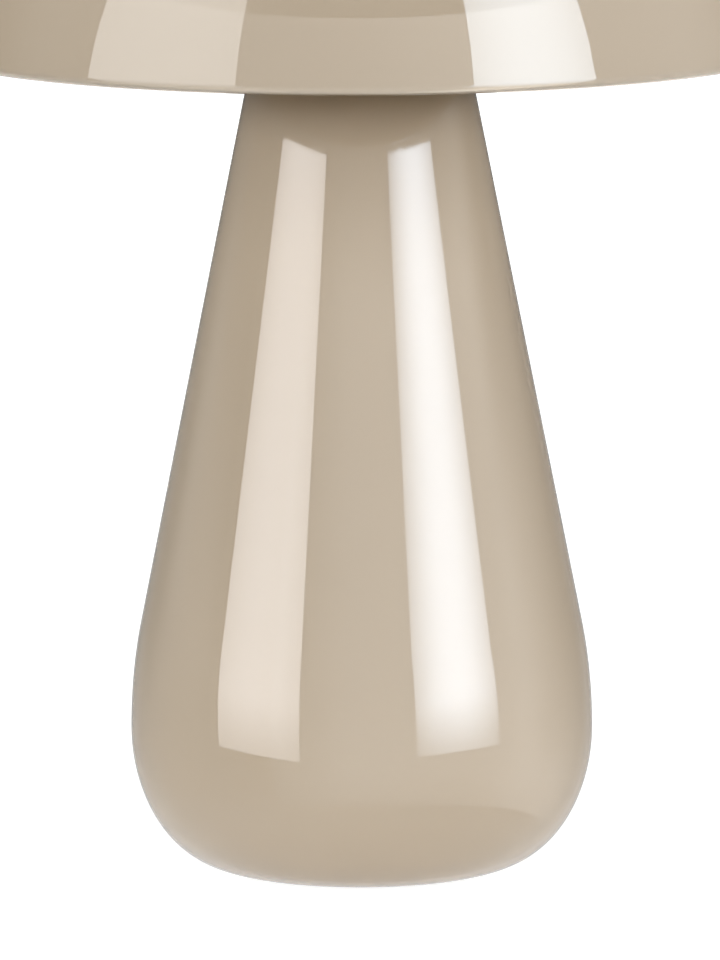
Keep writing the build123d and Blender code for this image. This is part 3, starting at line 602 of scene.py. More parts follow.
# The lean of the wall at the rim is taken from a rough reach, and the exact reach follows from it.
bend_height = dome_low.z + rim_bend
bend_radius = dome_high.x - rim_bend
wall_lean = math.atan2((bend_height - shade_centre) / shade_rise ** 2, dome_high.x / rough_reach ** 2)
wall_start = bend_height + rim_bend * math.sin(wall_lean)
level_share = (wall_start - shade_centre) / shade_rise
shade_reach = (bend_radius + rim_bend * math.cos(wall_lean)) / math.sqrt(1 - level_share ** 2)
print("and it reaches, in mm:", round(shade_reach / mm, 2))


def bend_arc(inset):
    """One face of the bent rim, from the wall down to the lip."""
    return arc((bend_radius, bend_height), rim_bend - inset, math.degrees(wall_lean), -90, steps=18)


outer = dome_arc(0, wall_start)
inner = dome_arc(shade_wall, bend_height + (rim_bend - shade_wall) * math.sin(wall_lean))
lip_end = bend_radius - rim_lip
lip = [(lip_end, dome_low.z + shade_wall), (lip_end, dome_low.z)]
inside_face = [(0, inner[-1][1])] + inner[::-1] + bend_arc(shade_wall)[1:] + lip
outside_face = bend_arc(0)[:0:-1] + outer + [(0, outer[-1][1])]
dome = lathe(inside_face + outside_face, segments=256, closed=False)
print("edges of the dome without two faces:", len([e for e in dome.edges if len(e.link_faces) != 2]))
piece("dome_shade", dome, "shade", "beige_enamel", "shade_dome")

# %% [markdown]
# ## Foot pad, neck cover and cord gland
#
# Under the foot lies a thin round pad with softened edges. A pressed cover closes the
# neck, and the gland is a small moulded flange with a bell mouth, so that the cord
# wouldn't chafe. All three are turned, and the gland is then laid along its own axis.

# %% Turn the pad and the neck cover
pad_edge = 0.5 * mm
stem_hole = 5.3 * mm
spigot = neck_hole - 0.2 * mm
cover_edge = 0.9 * mm


def ring_of(node):
    """A solid's outer radius, bottom and top."""
    low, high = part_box(node)
    return (high.x - low.x) / 2, low.z, high.z


pad_radius, pad_bottom, pad_top = ring_of("base_pad")
pad = lathe(
    [(0, pad_bottom), (pad_radius, pad_bottom), (pad_radius, pad_top), (0, pad_top)], closed=False
)
round_rings(pad, pad_edge, segments=3)
piece("foot_pad", pad, "lamp_base", "foot_rubber", "base_pad")

cover_radius, cover_bottom, cover_top = ring_of("neck_cap")
cover = lathe([
    (stem_hole, cover_bottom), (spigot, cover_bottom), (spigot, neck_top), (cover_radius, neck_top),
    (cover_radius, cover_top), (stem_hole, cover_top),
])
round_rings(cover, cover_edge, segments=5, test=beyond(spigot + mm, neck_top + mm))
piece("neck_cover", cover, "lamp_base", "beige_enamel", "neck_cap")

# %% Mould the cord gland
gland_bore = 3.2 * mm
gland_barrel = 4.9 * mm
gland_flange = 7 * mm
flange_height = 2.5 * mm
flange_edge = 0.8 * mm
gland_length = 13 * mm
mouth = 1.2 * mm
flange_foot = -1.0 * mm
barrel_end = flange_height - gland_length

gland = lathe([
    (gland_bore, barrel_end), (gland_barrel, barrel_end), (gland_barrel, flange_foot),
    (gland_flange, flange_foot), (gland_flange, flange_height), (gland_bore + mouth, flange_height),
    *arc((gland_bore + mouth, flange_height - mouth), mouth, 100, 180, steps=6),
], segments=64)
round_rings(gland, flange_edge, segments=4, test=beyond(gland_flange - edge_slack, 0))
turn = gland_axis.to_track_quat("Z", "Y").to_matrix().to_4x4()
gland.transform(Matrix.Translation(gland_point) @ turn)
piece("cord_inlet_gland", gland, "lamp_base", "gland_nylon", "cord_gland")

# %% [markdown]
# ## The shade carrier
#
# Three steel rods leave a turned hub, rise and end in upright pins, on which the shade's
# brackets drop. A rod like this is bent on a bender, so it is made in the same way here:
# a ring of edges is drawn out straight with extrude, and carried round each bend with
# spin. A soft bush on each pin keeps the shade quiet.

# %% Bend the carrier rods
arm_radius = 2.5 * mm
arm_root = 7 * mm
arm_level = 290.3 * mm
knee_reach = 30 * mm
pin_circle = 126 * mm
arm_rise = 23.7 * mm
pin_length = 24 * mm
knee_bend = 14 * mm
pin_bend = 9 * mm
collar_radius = 4.5 * mm
collar_drop = 7.5 * mm
collar_height = 1.5 * mm
collar_edge = 0.35 * mm
pin_edge = 0.8 * mm
first_arm = 90
arms = 3


def draw_out(bm, ring, move):
    """Extrudes a ring of edges along a move and gives the new ring."""
    result = bmesh.ops.extrude_edge_only(bm, edges=ring)["geom"]
    bmesh.ops.translate(bm, verts=[v for v in result if isinstance(v, bmesh.types.BMVert)], vec=move)
    return [e for e in result if isinstance(e, bmesh.types.BMEdge)]


def widen(bm, ring, centre, share):
    """Extrudes a ring of edges outwards or inwards, level with itself."""
    ring = draw_out(bm, ring, (0, 0, 0))
    verts = list({v for e in ring for v in e.verts})
    bmesh.ops.scale(bm, verts=verts, vec=(share, share, share), space=Matrix.Translation(-centre))
    return ring


def bend(bm, ring, centre, angle, steps):
    """Carries a ring of edges round a bend in the rod's own upright plane."""
    verts = list({v for e in ring for v in e.verts})
    result = bmesh.ops.spin(
        bm, geom=verts + ring, cent=centre, axis=(0, 1, 0), dvec=(0, 0, 0), angle=-angle, steps=steps
    )["geom_last"]
    return [e for e in result if isinstance(e, bmesh.types.BMEdge)]


def carrier_rod():
    """One rod: level run, knee, slope, upward bend, collar and pin, drawn out in this order."""
    slope = math.atan2(arm_rise, pin_circle - knee_reach)
    knee_tail = knee_bend * math.tan(slope / 2)
    steep = math.pi / 2 - slope
    pin_tail = pin_bend * math.tan(steep / 2)
    along = Vector((math.cos(slope), 0, math.sin(slope)))
    square = Vector((-math.sin(slope), 0, math.cos(slope)))
    knee = Vector((knee_reach, 0, arm_level))
    corner = Vector((pin_circle, 0, arm_level + arm_rise))
    bm = bmesh.new()
    bmesh.ops.create_circle(bm, cap_ends=True, segments=28, radius=arm_radius)
    start = Matrix.Translation((arm_root, 0, arm_level)) @ Matrix.Rotation(math.pi / 2, 4, "Y")
    bm.transform(start)
    ring = draw_out(bm, list(bm.edges), (knee_reach - knee_tail - arm_root, 0, 0))
    ring = bend(bm, ring, knee - Vector((knee_tail, 0, -knee_bend)), slope, steps=6)
    middle_run = (corner - knee).length - knee_tail - pin_tail
    ring = draw_out(bm, ring, along * middle_run)
    ring = bend(bm, ring, corner - along * pin_tail + square * pin_bend, steep, steps=14)
    ring = draw_out(bm, ring, (0, 0, collar_drop - pin_tail))
    centre = corner + Vector((0, 0, collar_drop))
    ring = widen(bm, ring, centre, collar_radius / arm_radius)
    ring = draw_out(bm, ring, (0, 0, collar_height))
    centre.z += collar_height
    ring = widen(bm, ring, centre, arm_radius / collar_radius)
    ring = draw_out(bm, ring, (0, 0, pin_length - collar_drop - collar_height))
    bmesh.ops.edgeloop_fill(bm, edges=ring)
    bmesh.ops.remove_doubles(bm, verts=bm.verts, dist=weld)
    bmesh.ops.recalc_face_normals(bm, faces=bm.faces)
    round_rings(bm, pin_edge, segments=3, test=beyond(0, corner.z + pin_length - edge_slack))
    by_collar = pin_circle - 2 * arm_radius
    under_pin = centre.z + mm
    return round_rings(bm, collar_edge, segments=2, test=lambda p: p.x > by_collar and p.z < under_pin)


def at_arm(bm, index):
    """Turns a piece made on the +X side to one of the three arms."""
    bm.transform(Matrix.Rotation(math.radians(first_arm + 360 / arms * index), 4, "Z"))
    return bm


for index in range(arms):
    name = str(index + 1)
    rod = at_arm(carrier_rod(), index)
    piece("carrier_rod_" + name, rod, "lamp_base", "nickel_steel", "carrier_arm_" + name)

# %% Turn the bushes and the hub
bush_radius = 6 * mm
bush_play = 0.05 * mm
bush_edge = 1.2 * mm
hub_edge = 1.0 * mm
bush_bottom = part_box("carrier_bush_1")[0].z
bush_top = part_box("carrier_bush_1")[1].z


def soft_bush():
    """One bush, turned on the lamp's axis and moved out to its pin."""
    bore = arm_radius + bush_play
    bm = lathe([
        (bore, bush_bottom), (bush_radius, bush_bottom), (bush_radius, bush_top), (bore, bush_top),
    ], segments=48)
    round_rings(bm, bush_edge, segments=4, test=beyond(bush_radius - edge_slack, bush_top - mm))
    bm.transform(Matrix.Translation((pin_circle, 0, 0)))
    return bm


for index in range(arms):
    name = str(index + 1)
    bush = at_arm(soft_bush(), index)
    piece("soft_bush_" + name, bush, "lamp_base", "silicone", "carrier_bush_" + name)

hub_radius, hub_bottom, hub_top = ring_of("carrier_hub")
hub = lathe([
    (stem_hole, hub_bottom), (hub_radius, hub_bottom), (hub_radius, hub_top), (stem_hole, hub_top),
])
round_rings(hub, hub_edge, segments=4, test=beyond(hub_radius - mm, hub_top - mm))
piece("arm_hub", hub, "lamp_base", "nickel_steel", "carrier_hub")

# %% [markdown]
# ## The lampholder and its switch
#
# The lampholder is a nickelled cap and sleeve round an insulating body. A sleeve of thin
# sheet is stiffened by two rolled ribs and a turned-in lip, which are part of its
# outline here. The spindle's hole is drilled through the sleeve at the front. The turn
# knob is moulded with flutes for the fingers: a ring of points is pulled in where a
# flute runs, and extrude draws the knob out from it.

# %% Turn the holder's cap and sleeve
holder_radius, sleeve_bottom, sleeve_top = ring_of("socket_shell")
holder_wall = 0.8 * mm
rib = 0.5 * mm
rib_places = [sleeve_top - 9 * mm, sleeve_top - 5 * mm]
lip_width = 1 * mm
lip_edge = 0.6 * mm
lip_root = 1.2 * mm


def sleeve_outline():
    """The sleeve's wall: its outside with both ribs, the lip at its top, and its inside."""
    inner_radius = holder_radius - holder_wall
    lip_radius = inner_radius - lip_width
    points = [(holder_radius, sleeve_bottom)]
    for height in rib_places:
        points += arc((holder_radius - rib, height), 2 * rib, -60, 60, steps=6)
    points += arc((inner_radius, sleeve_top - holder_wall), holder_wall, 0, 90, steps=4)
    return points + [
        (lip_radius, sleeve_top), (lip_radius, sleeve_top - lip_edge),
        (inner_radius, sleeve_top - lip_root), (inner_radius, sleeve_bottom),
    ]


switch_level = 312 * mm
spindle_hole = 2.3 * mm
sleeve = lathe(sleeve_outline(), segments=128)
sleeve = drill(sleeve, spindle_hole, (0, 0, switch_level), (0, -1, 0), 2 * holder_radius)
piece("holder_sleeve", sleeve, "lamp_base", "nickel_steel", "socket_shell")

cap_radius, cap_bottom, cap_top = ring_of("socket_cap")
boss_radius = 7.5 * mm
cap_floor = cap_bottom + 2.5 * mm
cap_wall = 1 * mm
cap_bore = 5.05 * mm
cap_edge = 0.45 * mm
lock_hole = 1.45 * mm
lock_height = cap_bottom + 1.75 * mm
cap = lathe([
    (cap_bore, cap_bottom), (boss_radius, cap_bottom), (boss_radius, cap_floor), (cap_radius, cap_floor),
    (cap_radius, cap_top), (cap_radius - cap_wall, cap_top), (cap_radius - cap_wall, cap_floor + cap_wall),
    (cap_bore, cap_floor + cap_wall),
], segments=128)
round_rings(cap, cap_edge, segments=3, test=beyond(cap_radius - edge_slack))
cap = drill(cap, lock_hole, (0, 0, lock_height), (0, 1, 0), 2 * boss_radius)
piece("holder_cap", cap, "lamp_base", "nickel_steel", "socket_cap")

# %% Mould the turn knob
knob_low, knob_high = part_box("switch_knob")
knob_radius = 6.5 * mm
knob_length = knob_high.y - knob_low.y
flutes = 14
points_per_flute = 10
flute_depth = 0.7 * mm
flute_power = 1.5
knob_edge = 0.9 * mm
dish_rim = 1.2 * mm
dish_depth = 0.25 * mm


def turn_knob():
    """The fluted knob, drawn out from its ring, with a soft edge and a shallow dish in its face."""
    bm = bmesh.new()
    count = flutes * points_per_flute
    bmesh.ops.create_circle(bm, cap_ends=True, segments=count, radius=knob_radius)
    for vert in bm.verts:
        angle = math.atan2(vert.co.y, vert.co.x)
        pull = max(0, math.cos(flutes * angle)) ** flute_power
        vert.co *= 1 - pull * flute_depth / knob_radius
    made = bmesh.ops.extrude_face_region(bm, geom=bm.faces[:])["geom"]
    top = [f for f in made if isinstance(f, bmesh.types.BMFace)][0]
    bmesh.ops.translate(bm, verts=list(top.verts), vec=(0, 0, knob_length))
    bmesh.ops.recalc_face_normals(bm, faces=bm.faces)
    bmesh.ops.bevel(
        bm, geom=list(top.edges), offset=knob_edge, segments=4, profile=0.5, affect="EDGES",
        material=-1, clamp_overlap=True,
    )
    cap_face = max(bm.faces, key=lambda f: f.calc_center_median().z)
    bmesh.ops.inset_region(bm, faces=[cap_face], thickness=dish_rim, depth=-dish_depth)
    return bm


knob = turn_knob()
knob.transform(Matrix.Translation((0, knob_high.y, switch_level)) @ Matrix.Rotation(math.pi / 2, 4, "X"))
piece("turn_knob", knob, "switch", "phenolic", "switch_knob")

# %% [markdown]
# ## The bulb
#
# The bulb has an opal cover, a white housing that flares up to it and a screw cap with a
# rolled thread. A thread is a profile that climbs as it turns: spin with a dvec does
# exactly that. The profile is one pitch high, so each turn ends where the next began.

# %% Blow the cover and mould the housing
bulb_radius = 22.5 * mm
bulb_wall = 1.2 * mm
bulb_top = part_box("bulb_diffuser")[1].z
join_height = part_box("bulb_diffuser")[0].z
globe_centre = bulb_top - bulb_radius


def globe_face(inset):
    """One face of the cover, from its joint with the housing up to its top."""
    start = math.degrees(math.asin((join_height - globe_centre) / (bulb_radius - inset)))
    return arc((0, globe_centre), bulb_radius - inset, start, 90, steps=40)


globe = lathe(globe_face(bulb_wall)[::-1] + globe_face(0), segments=96, closed=False)
piece("bulb_globe", globe, "bulb", "opal_diffuser", "bulb_diffuser")

housing_radius, housing_bottom, housing_top = ring_of("bulb_housing")
housing_neck = 8 * mm
neck_rise = 4 * mm
flare_steps = 16
flare_power = 1.15
flare_start = housing_bottom + neck_rise
flare = [(housing_neck, housing_bottom)]
for step in range(flare_steps + 1):
    share = step / flare_steps
    spread = math.sin(share * math.pi / 2) ** flare_power
    radius = housing_neck + (housing_radius - housing_neck) * spread
    flare.append((radius, flare_start + (housing_top - flare_start) * share))
housing = lathe(flare + [(radius - bulb_wall, height) for radius, height in flare[::-1]])
piece("bulb_body", housing, "bulb", "bulb_white", "bulb_housing")

# %% Roll the screw cap's thread
thread_radius, thread_bottom, thread_top = ring_of("bulb_cap")
pitch = 2.82 * mm
thread_depth = 0.45 * mm
thread_start = thread_bottom + 0.6 * mm
thread_steps = 8
thread_segments = 48
thread_weld = 0.01 * mm
turns = 4
core_wall = 0.4 * mm
collar_bottom = thread_top - 0.5 * mm


def thread_wave():
    """One pitch of the rolled thread, from crest to crest."""
    points = []
    for step in range(thread_steps + 1):
        share = step / thread_steps
        dip = thread_depth * (1 - math.cos(2 * math.pi * share)) / 2
        points.append((thread_radius - dip, 0, thread_start + pitch * share))
    return points


def screw_cap():
    """The thread, wound over a plain core that ends in a narrow collar."""
    bm = bmesh.new()
    verts = [bm.verts.new(point) for point in thread_wave()]
    edges = [bm.edges.new(pair) for pair in zip(verts, verts[1:])]
    bmesh.ops.spin(
        bm, geom=verts + edges, cent=(0, 0, 0), axis=(0, 0, 1), dvec=(0, 0, pitch / thread_segments),
        angle=2 * math.pi * turns, steps=thread_segments * turns,
    )
    bmesh.ops.remove_doubles(bm, verts=bm.verts, dist=thread_weld)
    core_radius = thread_radius - thread_depth
    core = lathe([
        (core_radius - core_wall, thread_bottom), (core_radius, thread_bottom),
        (core_radius, collar_bottom), (thread_radius, collar_bottom),
        (thread_radius, thread_top), (core_radius - core_wall, thread_top),
    ], segments=thread_segments)
    spare = bpy.data.meshes.new("thread_core")
    core.to_mesh(spare)
    core.free()
    bm.from_mesh(spare)
    bpy.data.meshes.remove(spare)
    bmesh.ops.recalc_face_normals(bm, faces=bm.faces)
    return bm


piece("bulb_screw_cap", screw_cap(), "bulb", "cap_metal", "bulb_cap", sharp=60)

# %% [markdown]
# ## The studio
#
# What a gloss shows and what lights its colour are two things, so this studio keeps them
# apart. Tall soft boxes left and right of the camera are only mirrored: they show as
# crisp upright bands in the enamel, brightest in their middle. A photographer would move
# such boxes a little between base and dome, and dim them for bare metal, which mirrors
# far more than enamel. Here the boxes for each hang in the same place, and light linking
# shows one pair to the dome, one to the base, and a weak set to all other parts. They
# let rays through, so that no box hides another.

# %% Materials that shine
def bare_material(name):
    """A material without a shader yet; gives it, its tree and the socket of its surface."""
    material = bpy.data.materials.new(name)
    material.use_nodes = True
    tree = material.node_tree
    tree.nodes.remove(tree.nodes["Principled BSDF"])
    return material, tree, tree.nodes["Material Output"].inputs["Surface"]


def added(tree, first, second):
    """Two shaders as one, with their light added up."""
    both = tree.nodes.new("ShaderNodeAddShader")
    tree.links.new(first.outputs[0], both.inputs[0])
    tree.links.new(second.outputs[0], both.inputs[1])
    return both


def emitter(name, colour, strength_of, clear=False):
    """A material that only shines; strength_of adds its nodes and gives the strength."""
    material, tree, surface = bare_material(name)
    shine = tree.nodes.new("ShaderNodeEmission")
    if callable(colour):
        tree.links.new(colour(tree), shine.inputs["Color"])
    else:
        shine.inputs["Color"].default_value = (*colour, 1)
    tree.links.new(strength_of(tree), shine.inputs["Strength"])
    if clear:
        shine = added(tree, shine, tree.nodes.new("ShaderNodeBsdfTransparent"))
    tree.links.new(shine.outputs[0], surface)
    return material


def ramp(tree, value, low, high, first, last):
    """Carries a value from one range to another, held at both ends."""
    node = tree.nodes.new("ShaderNodeMapRange")
    tree.links.new(value, node.inputs["Value"])
    for label, number in (("From Min", low), ("From Max", high), ("To Min", first), ("To Max", last)):
        node.inputs[label].default_value = number
    return node.outputs["Result"]


def steps_of(tree, value, stops):
    """A curve through stops, each a place and a level, in rising places."""
    low, high = stops[0][0], stops[-1][0]
    top = max(level for place, level in stops)
    node = tree.nodes.new("ShaderNodeValToRGB")
    bands = node.color_ramp.elements
    while len(bands) < len(stops):
        bands.new(0.5)
    for band, (place, level) in zip(bands, stops):
        band.position = (place - low) / (high - low)
    for band, (place, level) in zip(bands, stops):
        band.color = (level / top, level / top, level / top, 1)
    tree.links.new(ramp(tree, value, low, high, 0, 1), node.inputs["Fac"])
    return maths(tree, "MULTIPLY", node.outputs["Color"], top)


def steps_round(tree, stops):
    """A curve through stops round the lamp, each a side in degrees from the front and a level."""
    x, y, z = coordinates(tree)
    angle = maths(tree, "ARCTAN2", x, maths(tree, "MULTIPLY", y, -1))
    return steps_of(tree, angle, [(math.radians(side), level) for side, level in stops])


def stage_piece(name, bm, material, camera=False, glossy=True, diffuse=False):
    """A thing of the studio, which isn't part of the lamp."""
    mesh = bpy.data.meshes.new(name)
    bm.to_mesh(mesh)
    bm.free()
    mesh.materials.append(material)
    thing = bpy.data.objects.new(name, mesh)
    scene.collection.objects.link(thing)
    thing.visible_camera = camera
    thing.visible_glossy = glossy
    thing.visible_diffuse = diffuse
    thing.visible_shadow = camera
    return thing


def upright_sheet(radius, low_edge, high_edge, steps=24):
    """A curved upright sheet round the lamp; each edge runs through angles and heights."""
    bm = bmesh.new()
    rows = []
    for stops in (low_edge, high_edge):
        row = []
        for step in range(steps + 1):
            way = step / steps * (len(stops) - 1)
            start = min(int(way), len(stops) - 2)
            side, height = (a + (b - a) * (way - start) for a, b in zip(stops[start], stops[start + 1]))
            angle = math.radians(side)
            row.append(bm.verts.new((radius * math.sin(angle), -radius * math.cos(angle), height)))
        rows.append([bm.edges.new(pair) for pair in zip(row, row[1:])])
    bmesh.ops.bridge_loops(bm, edges=rows[0] + rows[1])
    return bm


# %% List the soft boxes
box_radius = 1.5
# Edges run through sides in degrees from the front and heights in m; "fade" is in m too.
soft_boxes = {
    "left_box_for_base": {
        "low_edge": [(-74, -0.160), (-30, -0.200)],
        "high_edge": [(-77, 0.536), (-64.2, 0.574), (-53.4, 0.5995), (-42.2, 0.622), (-31, 0.6388)],
        "middle": -53, "half_width": 24, "colour": (1.0, 0.98, 1.0), "peak": 8.3,
        "edge_share": 0.62, "low_share": 0.5, "fade": (-0.17, 0.10),
    },
    "right_box_for_base": {
        "low_edge": [(26.7, -0.168), (70.6, -0.150)],
        "high_edge": [(24.8, 0.6467), (35.6, 0.634), (46.6, 0.614), (56.7, 0.5925), (68.5, 0.562)],
        "middle": 48, "half_width": 23, "colour": (0.80, 0.886, 1.0), "peak": 13.4,
        "edge_share": 0.3, "low_share": 0.25, "fade": (-0.17, 0.12),
    },
    "left_box_for_dome": {
        "low_edge": [(-69.3, -0.6), (-30, -0.6)],
        "high_edge": [(-69.3, 1.3), (-30, 1.3)],
        "middle": -50, "half_width": 21, "colour": (1.0, 1.0, 1.0), "peak": 5.2,
        "edge_share": 0.9, "low_share": 0.25, "fade": (-0.6, 0.15),
    },
    "right_box_for_dome": {
        "low_edge": [(26.8, -0.6), (59.1, -0.6)],
        "high_edge": [(27.6, 1.3), (58.6, 1.3)],
        "middle": 43, "half_width": 17, "colour": (0.80, 0.90, 1.0), "peak": 12.2,
        "edge_share": 0.68, "low_share": 0.45, "fade": (-0.6, 0.15),
    },
}


def weak_box(first_side, last_side, **row):
    """The row of a weak box for the bare parts, level at its foot and at its top."""
    foot, top = -0.1, 1.2
    low_edge = [(first_side, foot), (last_side, foot)]
    high_edge = [(first_side, top), (last_side, top)]
    return {"low_edge": low_edge, "high_edge": high_edge, "low_share": 0.8, "fade": (foot, 0.2), **row}


white = (1.0, 1.0, 1.0)
soft_boxes["left_box_for_parts"] = weak_box(
    -75, -35, middle=-55, half_width=20, colour=white, peak=1.1, edge_share=0.8
)
soft_boxes["right_box_for_parts"] = weak_box(
    27, 65, middle=46, half_width=19, colour=(0.96, 0.98, 1.0), peak=1.5, edge_share=0.6
)
soft_boxes["back_box_for_parts"] = weak_box(
    150, 205, middle=178, half_width=27, colour=white, peak=1.0, edge_share=0.7
)


# %% Let a soft box fade
def soft_box_glow(row):
    """Gives the strength nodes of a soft box: a peak in its middle, less at its edges and foot."""
    side = math.radians(row["middle"])
    edge = math.cos(math.radians(row["half_width"])) * box_radius

    def strength_of(tree):
        x, y, z = coordinates(tree)
        rightwards = maths(tree, "MULTIPLY", x, math.sin(side))
        forwards = maths(tree, "MULTIPLY", y, -math.cos(side))
        along = maths(tree, "ADD", rightwards, forwards)
        across = ramp(tree, along, edge, box_radius, row["peak"] * row["edge_share"], row["peak"])
        return maths(tree, "MULTIPLY", across, ramp(tree, z, *row["fade"], row["low_share"], 1))

    return strength_of


# %% Choose which parts mirror which light
mirrors = {
    "dome": ("INCLUDE", ["dome_shade"]),
    "base": ("INCLUDE", ["teardrop_base", "neck_cover"]),
    "parts": ("EXCLUDE", ["dome_shade", "teardrop_base", "neck_cover"]),
}
linked = {}
for group, (state, names) in mirrors.items():
    linked[group] = bpy.data.collections.new("mirrored_in_" + group)
    for name in names:
        linked[group].objects.link(bpy.data.objects[name])
    for entry in linked[group].collection_objects:
        entry.light_linking.link_state = state

# Sheets that let rays through mustn't lie in one surface, so each group gets its own layer.
layer_gap = 2 * mm
layer = {group: order * layer_gap for order, group in enumerate(mirrors)}
print("groups with their own reflections:", ", ".join(linked))

# %% Hang the soft boxes
def hang(name, colour, strength_of, radius, low_edge, high_edge, steps=24):
    """A clear sheet of light, mirrored only in the group that its name ends with."""
    group = name.rsplit("_", 1)[1]
    glow = emitter(name + "_glow", colour, strength_of, clear=True)
    sheet = stage_piece(name, upright_sheet(radius + layer[group], low_edge, high_edge, steps), glow)
    sheet.light_linking.receiver_collection = linked[group]


for name, row in soft_boxes.items():
    hang(name, row["colour"], soft_box_glow(row), box_radius, row["low_edge"], row["high_edge"])
print("soft boxes:", ", ".join(soft_boxes))

# %% [markdown]
# Between the soft boxes the enamel mirrors the bright front of the studio, and this too
# is hung for the base, the dome and the other parts on their own. Round everything is a dim
# round room that only the gloss sees; dark behind the lamp, it gives the silhouette its
# darker edge. It reaches below the floor, so that the base is mirrored down to its foot.

# %% List the veils of light
veil_radius = 1.6
sag_start = 0.2
# "around" has sides in degrees and levels, "upwards" has heights in m and levels.
veils = {
    "front_veil_for_base": {
        "sag": 0.17,
        "around": [(-45, 0.8), (-31, 1.1), (-6, 2.1), (88, 2.1), (103, 0.7), (118, 0.0)],
        "upwards": [
            (-1.4, 0.0), (-0.9, 0.4), (-0.4, 0.8), (0.0, 1.0), (0.61, 1.0), (0.69, 0.3), (0.74, 0.0),
        ],
    },
    "left_veil_for_base": {
        "sag": 0.0,
        "around": [(-135, 0.0), (-118, 0.55), (-95, 0.7), (-70, 0.3), (-50, 0.0)],
        "upwards": [(-0.6, 0.0), (-0.1, 0.5), (0.17, 1.0), (0.27, 0.8), (0.34, 0.3), (0.40, 0.0)],
    },
    "right_veil_for_base": {
        "sag": 0.0,
        "around": [(60, 0.0), (85, 0.5), (100, 0.9), (116, 0.8), (135, 0.0)],
        "upwards": [
            (-1.8, 0.0), (-1.4, 0.5), (-0.5, 1.0), (-0.1, 0.6), (0.2, 0.6), (0.27, 0.4), (0.34, 0.0),
        ],
    },
    "front_veil_for_dome": {
        "sag": 0.0,
        "around": [
            (-100, 0.0), (-86, 0.5), (-70, 0.5), (-31, 1.2), (0, 1.65), (13, 2.1), (27, 2.4),
            (60, 1.7), (88, 1.7), (100, 1.2), (114, 0.0),
        ],
        "upwards": [(-0.6, 1.2), (-0.1, 1.1), (0.2, 1.0), (1.1, 1.0), (1.5, 0.0)],
    },
    "front_veil_for_parts": {
        "sag": 0.0,
        "around": [(-100, 0.0), (-31, 0.35), (0, 0.45), (60, 0.35), (114, 0.0)],
        "upwards": [(-0.6, 0.0), (0.0, 1.0), (1.1, 1.0), (1.5, 0.0)],
    },
}

# %% Hang the veils
def veil_glow(row):
    """Gives the strength nodes of a veil: levels by side times levels by height.

    Its upper part hangs lower at the sides than in front, by the sag."""
    def strength_of(tree):
        x, y, z = coordinates(tree)
        across = steps_round(tree, row["around"])
        upper = maths(tree, "GREATER_THAN", z, sag_start)
        sideways = ramp(tree, y, -veil_radius, 0, 0, row["sag"])
        height = maths(tree, "ADD", z, maths(tree, "MULTIPLY", upper, sideways))
        return maths(tree, "MULTIPLY", across, steps_of(tree, height, row["upwards"]))

    return strength_of


for name, row in veils.items():
    ends = [row["around"][0][0], row["around"][-1][0]]
    foot, top = row["upwards"][0][0], row["upwards"][-1][0]
    low_edge, high_edge = [(side, foot) for side in ends], [(side, top) for side in ends]
    hang(name, white, veil_glow(row), veil_radius, low_edge, high_edge, steps=48)
print("veils:", ", ".join(veils))

# %% [markdown]
# The rim bends inwards, so it mirrors what lies in front of the lamp and below it. A bright
# table there, which only the dome mirrors, gives the bend its warm and even shine.

# %% Lay the bright table that the dome's rim mirrors
table_height = -0.6
table_colour = (1.0, 0.92, 0.80)
table_levels = [
    (-180, 2.2), (-166, 1.8), (-152, 0.9), (-100, 0.9), (-73, 1.6), (-66, 3.2), (-31, 3.6), (-28, 2.7),
    (30, 3.0), (36, 7.4), (57, 7.4), (62, 2.7), (100, 1.6), (152, 1.1), (165, 2.8), (180, 2.2),
]


def table_glow(tree):
    """As bright as the panels over it, and brighter where a soft box stands behind it."""
    return steps_round(tree, table_levels)


table = bmesh.new()
bmesh.ops.create_circle(table, cap_ends=True, segments=96, radius=veil_radius)
bmesh.ops.translate(table, verts=table.verts, vec=(0, 0, table_height))
table_light = emitter("table_glow", table_colour, table_glow, clear=True)
table_top = stage_piece("bright_table_for_dome", table, table_light)
table_top.light_linking.receiver_collection = linked["dome"]
print("height of the mirrored table in m:", table_height)

# %% Build the room that the gloss mirrors
room_radius = 1.9
# Two places in m, then the strength at the first and at the second.
front_to_back = (-0.4, 0.7, 0.30, 0.18)
floor_to_lamp = (-1.2, 0.1, 1.1, 0)
lamp_to_top = (0.9, room_radius, 0, 0.8)


def room_glow(tree):
    """Dim, dimmer behind the lamp, and a little lighter towards its floor and its top."""
    x, y, z = coordinates(tree)
    lower = maths(tree, "ADD", ramp(tree, y, *front_to_back), ramp(tree, z, *floor_to_lamp))
    return maths(tree, "ADD", lower, ramp(tree, z, *lamp_to_top))


room = bmesh.new()
bmesh.ops.create_uvsphere(room, u_segments=48, v_segments=24, radius=room_radius)
stage_piece("mirrored_room", room, emitter("room_glow", white, room_glow))
print("radius of the mirrored room in m:", room_radius)

# %% [markdown]
# The colour itself is lit by a wide, soft wall of light, which the gloss doesn't mirror.
# Nearly all of it hangs well above the rim, so the dome shades the neck and the shadow
# fades out some way below it. Two weaker lamps fill the back and the top.

# %% Soft light for the colour
wall_radius = 2.2
wall_side = 130
# Each level is a height in m and a strength.
wall_levels = [
    (0.30, 0.0), (0.36, 1.3), (0.42, 3.5), (0.50, 5.8), (0.58, 7.5), (0.66, 7.3), (0.74, 5.4),
    (0.82, 3.0), (0.90, 1.35), (1.02, 1.2), (1.30, 1.15), (1.60, 0.7),
]
wall_front = 0.6
# Heights in m between which the low part fades, and shares of the light on the left and right.
low_part = (0.40, 0.50)
low_sides = (0.40, 0.75)
wall_shares = (0.96, 1.04)
warm_part = (0.36, 0.58)
wall_warm = (1.0, 0.83, 0.60, 1)
wall_cool = (0.98, 1.01, 1.055, 1)


